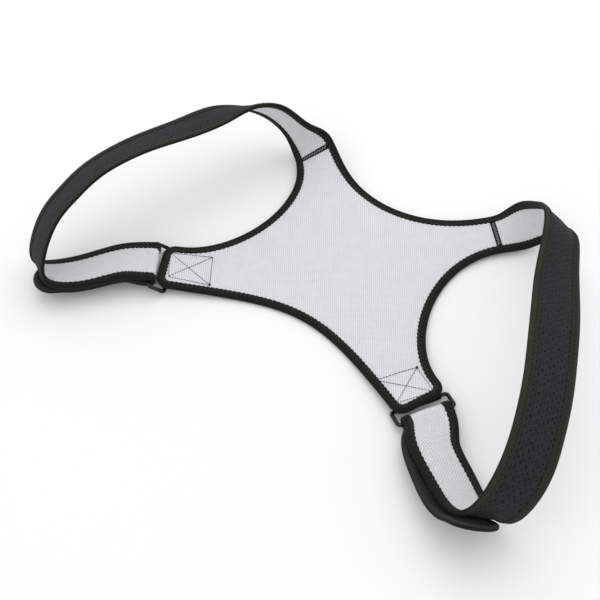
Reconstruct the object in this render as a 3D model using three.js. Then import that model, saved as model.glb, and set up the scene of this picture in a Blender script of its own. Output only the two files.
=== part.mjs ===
// Posture corrector: an X-shaped back panel with two shoulder straps. It lies on a table with the
// panel's outer face down, and both straps stand up in loops and come back to a ring under each
// lower arm. Millimetres, +Z up. The origin is the middle of the panel's outer face, on the table.
// +X points to the right strap and +Y to the neck.
import * as THREE from 'three';

// Cloth and binding
const SHEET = 2.5; // thickness of the padded cloth of the panel and the straps
const TAPE = 0.8; // thickness of the binding tape
const TAPE_WIDTH = 9; // how far the binding reaches in from an edge
const CLEARANCE = 0.3; // gap between neighbouring pieces
const STRAP_WIDTH = 50;
const BAND_WIDTH = 5.5; // seam band across each upper arm
const BAND_RIDGE = 0.6; // how far the band stands proud of the cloth

// Panel outline, right half; the left half mirrors it
const SEAM_X = 116; // middle of the seam between an upper arm and its strap
const SEAM_Y = 109;
const UPPER_ARM_ANGLE = 49; // degrees from +Y
const TIP_X = 157; // middle of a lower arm's end
const TIP_Y = -119;
const LOWER_ARM_ANGLE = 63; // degrees from -Y
const LOWER_ARM_WIDTH = 56;
const TIP_CORNER = 14; // rounding of a lower arm's end
const NECK_PULL = 86; // length of the handle that bends the neck edge
const ARMHOLE_PULL_UPPER = 72;
const ARMHOLE_PULL_LOWER = 58;
const HEM_PULL = 128;
const PANEL_CENTRE_Y = -8; // the point that every edge of the panel can be seen from
const RIM_START = 0.5; // share of the way out where the cloth starts to rise to its binding

// Lay of the four arms
const UPPER_ARM_BEND = 80; // length of an upper arm that lifts off the table
const TWIST_POWER = 1.5; // an upper arm's twist starts later than its rise
const LOWER_ARM_BEND = 120; // length of a lower arm that lifts over its ring
const UPPER_ARM_LAY = {
  right: { rise: 4, tilt: 2, inward: 0, footward: 0 },
  left: { rise: 13, tilt: 27, inward: 6, footward: 8 },
};

// Ring and its keeper
const BAR_RADIUS = 2; // round bar of the ring
const RING_SLOT = 14; // clear length of the ring's opening
const RING_SIDE_ROOM = 2; // free width beside the strap, each side
const RING_CORNER = 3.5; // corner radius of the ring, at the middle of the bar
const KEEPER = 1.2; // thickness of the keeper webbing
const KEEPER_WIDTH = 44;
const KEEPER_LENGTH = 42; // sewn length under the lower arm
const KEEPER_BAR_INSET = 7; // the held bar lies this far inside the arm's end
const RING_LAY = {
  right: { pitch: 12.5, turn: 8 },
  left: { pitch: 35, turn: 5 },
};

// Strap loops
const LOOP_REACH = 130; // how far a loop stands out from the straight line seam to ring
const LOOP_DROP = 135; // how far it runs towards the foot of that line
const LOOP_HEIGHT = 80; // how far it stands above that line
const TAB_ROUND = 20; // length of the rounded end of the tail
// One row per station of a loop. at is the share of the run from seam to ring. out, drop and up are
// shares of LOOP_REACH, LOOP_DROP and LOOP_HEIGHT, taken from the straight line at the same share.
// bearing and tilt are degrees: the plan direction and the slope of the strap's width.
const LOOP_COLUMNS = ['at', 'out', 'drop', 'up', 'bearing', 'tilt'];
const LOOP_ROWS = {
  right: [
    [0.07, 0.16, -0.25, 0.17, -28, 30],
    [0.13, 0.33, -0.34, 0.5, 10, 44],
    [0.2, 0.47, -0.26, 0.81, 17, 41],
    [0.27, 0.56, -0.1, 0.86, 17, 36],
    [0.33, 0.64, 0.06, 0.89, 18, 26],
    [0.4, 0.73, 0.22, 0.96, 19, 21],
    [0.47, 0.82, 0.39, 0.99, 19, 22],
    [0.53, 0.9, 0.56, 1, 19, 25],
    [0.6, 0.96, 0.73, 0.93, 20, 28],
    [0.67, 0.98, 0.9, 0.75, 22, 31],
    [0.73, 0.9, 0.99, 0.41, 33, 36],
    [0.8, 0.69, 0.86, 0.14, 49, 28],
    [0.87, 0.44, 0.59, 0.06, 51, 19],
    [0.93, 0.19, 0.32, 0.05, 52, 13],
  ],
  left: [
    [0.07, 0.16, -0.14, 0.24, 0, 45],
    [0.13, 0.32, -0.18, 0.52, 10, 44],
    [0.2, 0.45, -0.1, 0.74, 18, 35],
    [0.27, 0.53, 0.02, 0.81, 21, 18],
    [0.33, 0.6, 0.16, 0.84, 21, 17],
    [0.4, 0.68, 0.3, 0.89, 21, 20],
    [0.47, 0.76, 0.44, 0.91, 21, 23],
    [0.53, 0.82, 0.6, 0.88, 21, 25],
    [0.6, 0.83, 0.74, 0.79, 21, 26],
    [0.67, 0.83, 0.87, 0.59, 22, 27],
    [0.73, 0.77, 0.97, 0.28, 25, 26],
    [0.8, 0.66, 0.85, 0.05, 36, 17],
    [0.87, 0.44, 0.56, -0.01, 41, 8],
    [0.93, 0.23, 0.26, 0.02, 43, 5],
  ],
};
// The tail lies against the strap's outer side, back from the ring. length is its share of the run,
// and shift is how far its end lies towards the panel.
const TAIL_LAY = {
  right: { length: 0.27, shift: 10 },
  left: { length: 0.225, shift: -2 },
};
const TAIL_FREE = 30; // length of the tail's end that goes straight on
const TAIL_GAP = 0.9; // room between the strap and its tail

// Fineness of the meshes
const STEP = 0.5; // small step for slopes
const SHARE_STEP = 0.001;
const SQUARE_AT = 0.08; // from this share of the run on, the strap's width is square to it
const RING_SHARES = [0.5, 0.72, 0.88]; // rings of the panel's cloth, on the way to its strip
const STRIP_MARGIN = 1; // the strip reaches this far past the binding
const SEAM_STEP = 6; // first facet beside a seam
const CORNER_STEPS = 4;
const EDGE_STEP = 12; // length of one facet along the panel's edges
const RUN_SPANS = [
  { to: 0.24, steps: 14 },
  { to: 0.66, steps: 11 },
  { to: 1, steps: 15 },
];
const WRAP_STEPS = 6;
const TAIL_STEPS = 10;
const TAB_STEPS = 8;
const BAR_SIDES = 8;

const rad = THREE.MathUtils.degToRad;
const deg = THREE.MathUtils.radToDeg;

// Derived sizes
const MID = SHEET / 2 + CLEARANCE + TAPE; // height of the cloth's middle where its binding lies flat
const PLY = 2 * MID; // thickness of a bound edge
const EDGE_INSET = TAPE + CLEARANCE; // the cloth's edge lies this far inside the binding's fold
const WRAP_RADIUS = BAR_RADIUS + CLEARANCE + MID; // middle of the strap round the ring's bar
const TAIL_DROP = PLY + TAIL_GAP; // the tail lies this far below the strap
const KEEPER_BAR_Z = KEEPER + CLEARANCE + BAR_RADIUS;
const RING_PITCH_LENGTH = RING_SLOT + 2 * BAR_RADIUS; // between the two bars of the ring
// The strap is pulled against the ring's corner on the armhole side.
const STRAP_SHIFT = RING_SIDE_ROOM - (RING_CORNER - BAR_RADIUS) - CLEARANCE;
const RING_HALF_WIDTH = STRAP_WIDTH / 2 + RING_SIDE_ROOM + BAR_RADIUS;
const KEEPER_STACK = 2 * KEEPER + 3 * CLEARANCE + 2 * BAR_RADIUS;
const KEEPER_SKEW = (KEEPER_WIDTH / 2) * Math.sin(rad(Math.max(RING_LAY.left.turn, RING_LAY.right.turn)));
const LOWER_ARM_RISE = KEEPER_STACK / (1 - (KEEPER_BAR_INSET + KEEPER_SKEW) / LOWER_ARM_BEND) ** 2;

const vec = (x, y, z = 0) => new THREE.Vector3(x, y, z);
const along = (a, b, share) => a.clone().lerp(b, share);
const Z = vec(0, 0, 1);
const SIGN = { right: 1, left: -1 };
const mirrorTo = (side, p) => p.clone().multiply(vec(SIGN[side], 1, 1));

const seam = vec(SEAM_X, SEAM_Y);
const tip = vec(TIP_X, TIP_Y);
const upperArm = vec(Math.sin(rad(UPPER_ARM_ANGLE)), Math.cos(rad(UPPER_ARM_ANGLE)));
const upperSide = vec(upperArm.y, -upperArm.x);
const lowerArm = vec(Math.sin(rad(LOWER_ARM_ANGLE)), -Math.cos(rad(LOWER_ARM_ANGLE)));
const lowerSide = vec(-lowerArm.y, lowerArm.x);

// A point of the panel in plan, moved to where it lies: the arms rise towards their ends, the left
// upper arm also tips its neck edge up, and every bound edge stands on its binding.
function lay(point, side, rim) {
  const sign = SIGN[side];
  const p = vec(point.x * sign, point.y);
  const out = vec(p.x, p.y, SHEET / 2 + rim * EDGE_INSET);
  if (p.y > 0) {
    const fromSeam = p.clone().sub(seam);
    const share = Math.max(0, 1 + fromSeam.dot(upperArm) / UPPER_ARM_BEND) ** 2;
    const across = -fromSeam.dot(upperSide);
    const { rise, tilt, inward, footward } = UPPER_ARM_LAY[side];
    const angle = rad(tilt) * share ** TWIST_POWER;
    out.addScaledVector(upperSide, across * (1 - Math.cos(angle)));
    out.add(vec(-inward * share, -footward * share, rise * share + across * Math.sin(angle)));
  } else {
    const share = Math.max(0, 1 + p.clone().sub(tip).dot(lowerArm) / LOWER_ARM_BEND) ** 2;
    out.z += LOWER_ARM_RISE * share;
  }
  out.x *= sign;
  return out;
}

const sideOf = (point) => (point.x < 0 ? 'left' : 'right');
const layPanel = (point, rim = 1) => lay(point, sideOf(point), rim);

// The panel's upward normal at a point in plan
function panelNormal(point, rim = 1) {
  const side = sideOf(point);
  const dx = lay(point.clone().add(vec(STEP, 0)), side, rim).sub(lay(point, side, rim));
  const dy = lay(point.clone().add(vec(0, STEP)), side, rim).sub(lay(point, side, rim));
  return dx.cross(dy).normalize();
}

// Stations of an edge in plan: a point and the direction into the cloth, which lies to the right
// of the way along it
function stationsOf(curve, shares) {
  return shares.map((share) => {
    const way = curve.getTangent(share);
    return { plan: curve.getPoint(share), inward: vec(way.y, -way.x) };
  });
}

// Even shares of a curve of the panel's edge. Where it starts or ends at a seam, the outermost
// share is held back, and one more near the seam keeps the twist there smooth.
function evenShares(curve, pull, held, seams) {
  const count = Math.round(curve.getLength() / EDGE_STEP);
  const shares = Array.from({ length: count + 1 }, (_, i) => i / count);
  const near = SEAM_STEP / (3 * pull);
  if (seams.start) shares.splice(0, 1, held / (3 * pull), near);
  if (seams.end) shares.splice(-1, 1, 1 - near, 1 - held / (3 * pull));
  return shares;
}

// A quarter circle between two straight edges that meet square
function roundCorner(at, arriving, leaving) {
  const centre = at.clone().addScaledVector(arriving, -TIP_CORNER).addScaledVector(leaving, TIP_CORNER);
  return Array.from({ length: CORNER_STEPS + 1 }, (_, i) => {
    const angle = (Math.PI / 2) * (i / CORNER_STEPS);
    const outward = leaving.clone().multiplyScalar(-Math.cos(angle));
    outward.addScaledVector(arriving, Math.sin(angle));
    return { plan: centre.clone().addScaledVector(outward, TIP_CORNER), inward: outward.negate() };
  });
}

const mirror = (p) => vec(-p.x, p.y);
const mirrored = (edge) => edge
  .map(({ plan, inward }) => ({ plan: mirror(plan), inward: mirror(inward) }))
  .reverse();

// The panel's edges in plan, clockwise seen from above. held is how far they stop short of the seams.
function panelEdges(held) {
  const neckCorner = seam.clone().addScaledVector(upperSide, -STRAP_WIDTH / 2);
  const armpit = seam.clone().addScaledVector(upperSide, STRAP_WIDTH / 2);
  const tipTop = tip.clone().addScaledVector(lowerSide, LOWER_ARM_WIDTH / 2);
  const tipFoot = tip.clone().addScaledVector(lowerSide, -LOWER_ARM_WIDTH / 2);
  const neckHandle = neckCorner.clone().addScaledVector(upperArm, -NECK_PULL);
  const neckEnds = [mirror(neckCorner), mirror(neckHandle), neckHandle, neckCorner];
  const neckCurve = new THREE.CubicBezierCurve3(...neckEnds);
  const neck = stationsOf(neckCurve, evenShares(neckCurve, NECK_PULL, held, { start: true, end: true }));
  const armholeCurve = new THREE.CubicBezierCurve3(
    armpit,
    armpit.clone().addScaledVector(upperArm, -ARMHOLE_PULL_UPPER),
    tipTop.clone().addScaledVector(lowerArm, -TIP_CORNER - ARMHOLE_PULL_LOWER),
    tipTop.clone().addScaledVector(lowerArm, -TIP_CORNER),
  );
  const armholeShares = evenShares(armholeCurve, ARMHOLE_PULL_UPPER, held, { start: true });
  const armhole = stationsOf(armholeCurve, armholeShares);
  const acrossTip = lowerSide.clone().negate();
  const tipEnd = [
    ...roundCorner(tipTop, lowerArm, acrossTip),
    ...roundCorner(tipFoot, acrossTip, lowerArm.clone().negate()),
  ];
  const hemStart = tipFoot.clone().addScaledVector(lowerArm, -TIP_CORNER);
  const hemHandle = tipFoot.clone().addScaledVector(lowerArm, -TIP_CORNER - HEM_PULL);
  const hemCurve = new THREE.CubicBezierCurve3(hemStart, hemHandle, mirror(hemHandle), mirror(hemStart));
  const hem = stationsOf(hemCurve, evenShares(hemCurve, HEM_PULL, held, {}));
  const lower = [
    ...armhole.slice(0, -1),
    ...tipEnd,
    ...hem.slice(1, -1),
    ...mirrored(tipEnd),
    ...mirrored(armhole).slice(1),
  ];
  return { neck, lower };
}

// One closed body through equal sections, each a ring of points. The cap's triangles are given
// once for a section, and a closed loop of sections needs none. Each side of the section is cut
// along one diagonal, and crossed names the sides that are cut along the other.
function loft(sections, cap, crossed = []) {
  const size = sections[0].length;
  const positions = sections.flat().flatMap((p) => [p.x, p.y, p.z]);
  const index = [];
  const spans = cap ? sections.length - 1 : sections.length;
  for (let i = 0; i < spans; i++) {
    const here = i * size;
    const next = ((i + 1) % sections.length) * size;
    for (let j = 0; j < size; j++) {
      const k = (j + 1) % size;
      const cut = crossed.includes(j)
        ? [here + j, next + j, here + k, next + j, next + k, here + k]
        : [here + j, next + j, next + k, here + j, next + k, here + k];
      index.push(...cut);
    }
  }
  const last = (sections.length - 1) * size;
  for (const [a, b, c] of cap ?? []) index.push(a, b, c, last + a, last + c, last + b);
  return solid(positions, index);
}

// A geometry whose faces point outwards whichever way round its triangles were given
function solid(positions, index) {
  const at = (i) => vec(positions[3 * i], positions[3 * i + 1], positions[3 * i + 2]);
  let volume = 0;
  for (let i = 0; i < index.length; i += 3) {
    volume += at(index[i]).dot(at(index[i + 1]).cross(at(index[i + 2])));
  }
  if (volume < 0) index.reverse();
  const geometry = new THREE.BufferGeometry();
  geometry.setAttribute('position', new THREE.Float32BufferAttribute(positions, 3));
  geometry.setIndex(index);
  return geometry;
}

// The binding's section: inward from the fold and up from the cloth's middle
const CHANNEL = [
  [0, -MID],
  [0, MID],
  [TAPE_WIDTH, MID],
  [TAPE_WIDTH, MID - TAPE],
  [TAPE, MID - TAPE],
  [TAPE, TAPE - MID],
  [TAPE_WIDTH, TAPE - MID],
  [TAPE_WIDTH, -MID],
];
const CHANNEL_CAP = [[0, 1, 4], [0, 4, 5], [1, 2, 3], [1, 3, 4], [5, 6, 7], [5, 7, 0]];
const CHANNEL_CROSSED = [3, 7]; // so that all its faces are cut alike
const BAR_CAP = [[0, 1, 2], [0, 2, 3]]; // of a section with four corners

// A point in from a station of the panel's edge, and the cloth's normal there
function onPanel({ plan, inward }, inset) {
  const place = plan.clone().addScaledVector(inward, inset);
  return { point: lay(place, sideOf(plan), 1), normal: panelNormal(place) };
}

// The binding round an edge of the panel
function panelBindingGeometry(edge) {
  const sections = edge.map((station) => CHANNEL.map(([u, v]) => {
    const { point, normal } = onPanel(station, u);
    return point.addScaledVector(normal, v);
  }));
  return loft(sections, CHANNEL_CAP, CHANNEL_CROSSED);
}

// The panel's cloth, on both faces: rings of points round its centre, then a strip that lies in
// the binding. At the two seams the strip is left out and the cloth ends square.
function panelGeometry() {
  const { neck, lower } = panelEdges(BAND_WIDTH / 2 + CLEARANCE);
  const edge = [...neck, ...lower];
  const count = edge.length;
  const atSeam = (i) => i === neck.length - 1 || i === count - 1;
  const stripStart = TAPE_WIDTH + STRIP_MARGIN;
  const centre = vec(0, PANEL_CENTRE_Y);
  const positions = [];
  const place = (middle, normal) => {
    for (const half of [SHEET / 2, -SHEET / 2]) {
      positions.push(...middle.clone().addScaledVector(normal, half));
    }
  };
  place(layPanel(centre, 0), Z);
  for (const share of RING_SHARES) {
    const rim = THREE.MathUtils.smoothstep(share, RIM_START, 1);
    for (const { plan, inward } of edge) {
      const point = along(centre, plan.clone().addScaledVector(inward, stripStart), share);
      place(layPanel(point, rim), panelNormal(point, rim));
    }
  }
  for (const inset of [stripStart, EDGE_INSET]) {
    for (const { point, normal } of edge.map((station) => onPanel(station, inset))) place(point, normal);
  }
  const strip = RING_SHARES.length;
  const at = (ring, i, face) => 2 + 2 * (ring * count + (i % count)) + face;
  const index = [];
  const facet = (face, a, b, c) => index.push(...(face ? [a, c, b] : [a, b, c]));
  const wall = (top, foot, nextTop, nextFoot) => index.push(top, foot, nextFoot, top, nextFoot, nextTop);
  for (let i = 0; i < count; i++) {
    for (const face of [0, 1]) {
      facet(face, face, at(0, i, face), at(0, i + 1, face));
      for (let ring = 0; ring < strip + 1; ring++) {
        if (ring === strip && atSeam(i)) continue;
        facet(face, at(ring, i, face), at(ring + 1, i, face), at(ring, i + 1, face));
        facet(face, at(ring + 1, i, face), at(ring + 1, i + 1, face), at(ring, i + 1, face));
      }
    }
    const corners = atSeam(i)
      ? [[strip + 1, i], [strip, i], [strip, i + 1], [strip + 1, i + 1]]
      : [[strip + 1, i], [strip + 1, i + 1]];
    for (let k = 0; k + 1 < corners.length; k++) {
      const [here, next] = [corners[k], corners[k + 1]];
      wall(at(...here, 0), at(...here, 1), at(...next, 0), at(...next, 1));
    }
  }
  return solid(positions, index);
}

// A smooth curve through rows of numbers at given shares, with its slope given at both ends. The
// second derivatives come from the usual three-term equations of a cubic spline.
function spline(at, rows, startSlope, endSlope) {
  const last = at.length - 1;
  const gap = (i) => at[i + 1] - at[i];
  const slope = (i, c) => (rows[i + 1][c] - rows[i][c]) / gap(i);
  const bends = rows[0].map((_, c) => {
    const diagonal = [2 * gap(0)];
    const right = [6 * (slope(0, c) - startSlope[c])];
    for (let i = 1; i <= last; i++) {
      const factor = gap(i - 1) / diagonal[i - 1];
      const own = i < last ? 2 * (gap(i - 1) + gap(i)) : 2 * gap(i - 1);
      const change = i < last ? slope(i, c) - slope(i - 1, c) : endSlope[c] - slope(i - 1, c);
      diagonal.push(own - factor * gap(i - 1));
      right.push(6 * change - factor * right[i - 1]);
    }
    const bend = [];
    for (let i = last; i >= 0; i--) {
      const next = i < last ? gap(i) * bend[i + 1] : 0;
      bend[i] = (right[i] - next) / diagonal[i];
    }
    return bend;
  });
  return (share) => {
    let i = 0;
    while (i < last - 1 && share > at[i + 1]) i++;
    const width = gap(i);
    const a = (at[i + 1] - share) / width;
    const b = 1 - a;
    return rows[i].map((value, c) => {
      const bend = (a ** 3 - a) * bends[c][i] + (b ** 3 - b) * bends[c][i + 1];
      return a * value + b * rows[i + 1][c] + (bend * width ** 2) / 6;
    });
  };
}

const bearingOf = (width) => deg(Math.atan2(-width.y, -width.x));

// Where a ring lies, in the right-hand half: its two bars, its way out and its way up
function ringFrame(side) {
  const { pitch, turn } = RING_LAY[side];
  const out = lowerArm.clone().applyAxisAngle(Z, -rad(turn));
  const heldBar = tip.clone().addScaledVector(lowerArm, -KEEPER_BAR_INSET).setZ(KEEPER_BAR_Z);
  const slope = out.clone().multiplyScalar(Math.cos(rad(pitch))).setZ(Math.sin(rad(pitch)));
  const freeBar = heldBar.clone().addScaledVector(slope, RING_PITCH_LENGTH);
  const across = vec(out.y, -out.x);
  return { out, heldBar, freeBar, slope, across };
}

// A point across an upper arm, a distance past its seam, in the right-hand half
function acrossSeam(side, past, shift) {
  const plan = seam.clone().addScaledVector(upperArm, past).addScaledVector(upperSide, -shift);
  return mirrorTo(side, lay(mirrorTo(side, plan), side, 1));
}

// The strap's surface from seam to ring, in the right-hand half: a point at a distance along the
// run and a distance across it, counted from the middle towards the panel
function runSurface(side) {
  const start = acrossSeam(side, 0, 0);
  const startWidth = acrossSeam(side, 0, STEP).sub(start).normalize();
  const startWay = start.clone().sub(acrossSeam(side, -STEP, 0)).normalize();
  const { out, freeBar, across } = ringFrame(side);
  const bar = freeBar.clone().addScaledVector(across, -STRAP_SHIFT);
  const end = bar.clone().addScaledVector(Z, WRAP_RADIUS);
  const rows = LOOP_ROWS[side].map((row) => Object.fromEntries(row.map((v, i) => [LOOP_COLUMNS[i], v])));
  const at = [0, ...rows.map((row) => row.at), 1];
  const places = rows.map((row) => along(start, end, row.at)
    .add(vec(row.out * LOOP_REACH, -row.drop * LOOP_DROP, row.up * LOOP_HEIGHT)));
  const points = [start, ...places, end];
  const length = points.slice(1).reduce((sum, p, i) => sum + p.distanceTo(points[i]), 0);
  const middle = spline(
    at,
    points.map((p) => p.toArray()),
    startWay.clone().multiplyScalar(length).toArray(),
    out.clone().multiplyScalar(-length).toArray(),
  );
  const angles = [
    [bearingOf(startWidth), deg(Math.asin(startWidth.z))],
    ...rows.map((row) => [row.bearing, row.tilt]),
    [bearingOf(across), 0],
  ];
  const startTwist = (2 * TWIST_POWER * UPPER_ARM_LAY[side].tilt * length) / UPPER_ARM_BEND;
  const turning = spline(at, angles, [0, startTwist], [0, 0]);
  const centre = (share) => vec(...middle(share));
  const surface = (distance, shift) => {
    const share = distance / length;
    const way = centre(share + SHARE_STEP).sub(centre(share - SHARE_STEP)).normalize();
    const [bearing, tilt] = turning(share).map(rad);
    const width = vec(-Math.cos(bearing), -Math.sin(bearing)).multiplyScalar(Math.cos(tilt));
    width.setZ(Math.sin(tilt));
    const square = THREE.MathUtils.smoothstep(share, 0, SQUARE_AT);
    width.addScaledVector(way, -width.dot(way) * square).normalize();
    return centre(share).addScaledVector(width, shift);
  };
  return { surface, length, bar, out, across };
}

// The point, the lining's normal and the way across of a surface at a distance along and across
function frameAt(surface, distance, shift) {
  const way = surface(distance + STEP, shift).sub(surface(distance - STEP, shift));
  const across = surface(distance, shift + STEP).sub(surface(distance, shift - STEP)).normalize();
  return { point: surface(distance, shift), across, normal: way.cross(across).normalize() };
}

// The whole strap as one surface: the run, half a turn round the ring's bar, and the tail that lies
// against the run's outer side.
function strapSurface(side) {
  const { surface: run, length, bar, out, across } = runSurface(side);
  const wrapEnd = length + Math.PI * WRAP_RADIUS;
  const tailLength = TAIL_LAY[side].length * length;
  const held = (past, shift) => {
    const share = past / tailLength;
    const moved = TAIL_LAY[side].shift * THREE.MathUtils.smoothstep(share, 0, 0.6);
    const { point, across: width, normal } = frameAt(run, length - past, moved);
    const spread = 1 - THREE.MathUtils.smoothstep(share, 0, 0.3);
    const drop = TAIL_DROP + (2 * WRAP_RADIUS - TAIL_DROP) * spread;
    return point.addScaledVector(width, shift).addScaledVector(normal, -drop);
  };
  const freeStart = tailLength - TAIL_FREE;
  const leave = held(freeStart, 0);
  const leaveWay = held(freeStart + STEP, 0).sub(held(freeStart - STEP, 0)).normalize();
  const leaveWidth = held(freeStart, STEP).sub(leave).normalize();
  const tail = (past, shift) => {
    if (past <= freeStart) return held(past, shift);
    return leave.clone().addScaledVector(leaveWay, past - freeStart).addScaledVector(leaveWidth, shift);
  };
  const surface = (distance, shift) => {
    if (distance <= length) return run(distance, shift);
    if (distance >= wrapEnd) return tail(distance - wrapEnd, shift);
    const angle = (distance - length) / WRAP_RADIUS;
    const spoke = Z.clone().multiplyScalar(Math.cos(angle)).addScaledVector(out, -Math.sin(angle));
    return bar.clone().addScaledVector(spoke, WRAP_RADIUS).addScaledVector(across, shift);
  };
  return { surface, length, wrapEnd, tabStart: wrapEnd + tailLength - TAB_ROUND };
}

// The distances of a strap's stations from its seam to the start of the tail's round end
function strapDistances({ length, wrapEnd, tabStart }) {
  const spans = RUN_SPANS.map(({ to, steps }) => ({ to: to * length, steps }));
  spans.push({ to: wrapEnd, steps: WRAP_STEPS }, { to: tabStart, steps: TAIL_STEPS });
  const distances = [0];
  for (const { to, steps } of spans) {
    const from = distances.at(-1);
    for (let i = 1; i <= steps; i++) distances.push(from + ((to - from) * i) / steps);
  }
  return distances;
}

const CLOTH_CROSSED = [4, 5, 6]; // so that the cloth is cut like the binding over it

// The triangles that close a section whose two faces hold the same number of points
function faceCap(count) {
  const last = 2 * count - 1;
  const cap = [];
  for (let i = 0; i + 1 < count; i++) cap.push([i, i + 1, last - i], [i + 1, last - i - 1, last - i]);
  return cap;
}

// The strap's cloth: a flat section along the stations, narrowing round the end of the tail
function strapGeometry(side) {
  const strap = strapSurface(side);
  const half = STRAP_WIDTH / 2 - EDGE_INSET;
  const inner = STRAP_WIDTH / 2 - TAPE_WIDTH - STRIP_MARGIN;
  const shifts = [half, inner, -inner, -half];
  const section = (distance, narrow) => {
    const frames = shifts.map((shift) => frameAt(strap.surface, distance, shift * narrow));
    const face = (list, way) => list.map(({ point, normal }) =>
      mirrorTo(side, point.clone().addScaledVector(normal, (way * SHEET) / 2)));
    return [...face(frames, 1), ...face(frames.toReversed(), -1)];
  };
  const [, ...distances] = strapDistances(strap);
  const sections = [BAND_WIDTH / 2 + CLEARANCE, ...distances].map((distance) => section(distance, 1));
  for (let i = 1; i < TAB_STEPS; i++) {
    const angle = (Math.PI / 2) * (i / TAB_STEPS);
    sections.push(section(strap.tabStart + (TAB_ROUND - EDGE_INSET) * Math.sin(angle), Math.cos(angle)));
  }
  return loft(sections, faceCap(shifts.length), CLOTH_CROSSED);
}

// The strap's binding: along the panel-side edge, round the tail's end and back along the other
// edge. Each section bends with the cloth under it.
function strapBindingGeometry(side) {
  const strap = strapSurface(side);
  const half = STRAP_WIDTH / 2;
  const section = (distance, angle) => {
    const inward = new THREE.Vector2(-Math.sin(angle) / TAB_ROUND, -Math.cos(angle) / half).normalize();
    return CHANNEL.map(([u, v]) => {
      const shift = half * Math.cos(angle) + inward.y * u;
      const { point, normal } = frameAt(strap.surface, distance + inward.x * u, shift);
      return mirrorTo(side, point.addScaledVector(normal, v));
    });
  };
  const [, ...distances] = strapDistances(strap);
  const lengthwise = [CLEARANCE / 2, BAND_WIDTH / 2 + CLEARANCE, ...distances];
  const sections = lengthwise.map((distance) => section(distance, 0));
  for (let i = 1; i < 2 * TAB_STEPS; i++) {
    const angle = (Math.PI * i) / (2 * TAB_STEPS);
    sections.push(section(strap.tabStart + TAB_ROUND * Math.sin(angle), angle));
  }
  sections.push(...lengthwise.toReversed().map((distance) => section(distance, Math.PI)));
  return loft(sections, CHANNEL_CAP, CHANNEL_CROSSED);
}

// The band across an upper arm, between the panel's cloth and the strap's: as thick as the cloth
// under the bindings and a little proud of it between them
function seamBandGeometry(side) {
  const arm = (distance, shift) => acrossSeam(side, distance, shift);
  const { surface } = strapSurface(side);
  const end = STRAP_WIDTH / 2 - EDGE_INSET;
  const inner = STRAP_WIDTH / 2 - TAPE_WIDTH - CLEARANCE;
  const half = SHEET / 2;
  const shoulder = [[end, half], [inner, half], [inner - BAND_RIDGE, half + BAND_RIDGE]];
  const face = [...shoulder, ...shoulder.toReversed().map(([u, v]) => [-u, v])];
  const profile = [...face, ...face.toReversed().map(([u, v]) => [u, -v])];
  const section = (from, distance) => profile.map(([u, v]) => {
    const { point, normal } = frameAt(from, distance, u);
    return mirrorTo(side, point.addScaledVector(normal, v));
  });
  const sections = [section(arm, -BAND_WIDTH / 2), section(arm, 0), section(surface, BAND_WIDTH / 2)];
  return loft(sections, faceCap(face.length));
}

// The ring: a round bar along a rectangle with round corners
function ringGeometry(side) {
  const { heldBar, slope, across } = ringFrame(side);
  const half = RING_HALF_WIDTH;
  const shape = new THREE.Path();
  shape.moveTo(-half + RING_CORNER, 0);
  shape.lineTo(half - RING_CORNER, 0);
  shape.absarc(half - RING_CORNER, RING_CORNER, RING_CORNER, -Math.PI / 2, 0);
  shape.lineTo(half, RING_PITCH_LENGTH - RING_CORNER);
  shape.absarc(half - RING_CORNER, RING_PITCH_LENGTH - RING_CORNER, RING_CORNER, 0, Math.PI / 2);
  shape.lineTo(-half + RING_CORNER, RING_PITCH_LENGTH);
  shape.absarc(-half + RING_CORNER, RING_PITCH_LENGTH - RING_CORNER, RING_CORNER, Math.PI / 2, Math.PI);
  shape.lineTo(-half, RING_CORNER);
  shape.absarc(-half + RING_CORNER, RING_CORNER, RING_CORNER, Math.PI, 1.5 * Math.PI);
  const loop = shape.getPoints(3).filter((p, i, all) => i === 0 || p.distanceTo(all[i - 1]) > 0.1);
  if (loop[0].distanceTo(loop.at(-1)) < 0.1) loop.pop();
  const up = across.clone().cross(slope).normalize();
  const sections = loop.map((p, i) => {
    const before = loop[(i + loop.length - 1) % loop.length];
    const after = loop[(i + 1) % loop.length];
    const way = after.clone().sub(before).normalize();
    const outward = across.clone().multiplyScalar(way.y).addScaledVector(slope, -way.x);
    const middle = heldBar.clone().addScaledVector(across, p.x).addScaledVector(slope, p.y);
    return Array.from({ length: BAR_SIDES }, (_, j) => {
      const angle = (2 * Math.PI * j) / BAR_SIDES;
      return mirrorTo(side, middle.clone()
        .addScaledVector(outward, BAR_RADIUS * Math.cos(angle))
        .addScaledVector(up, BAR_RADIUS * Math.sin(angle)));
    });
  });
  return loft(sections);
}

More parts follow.
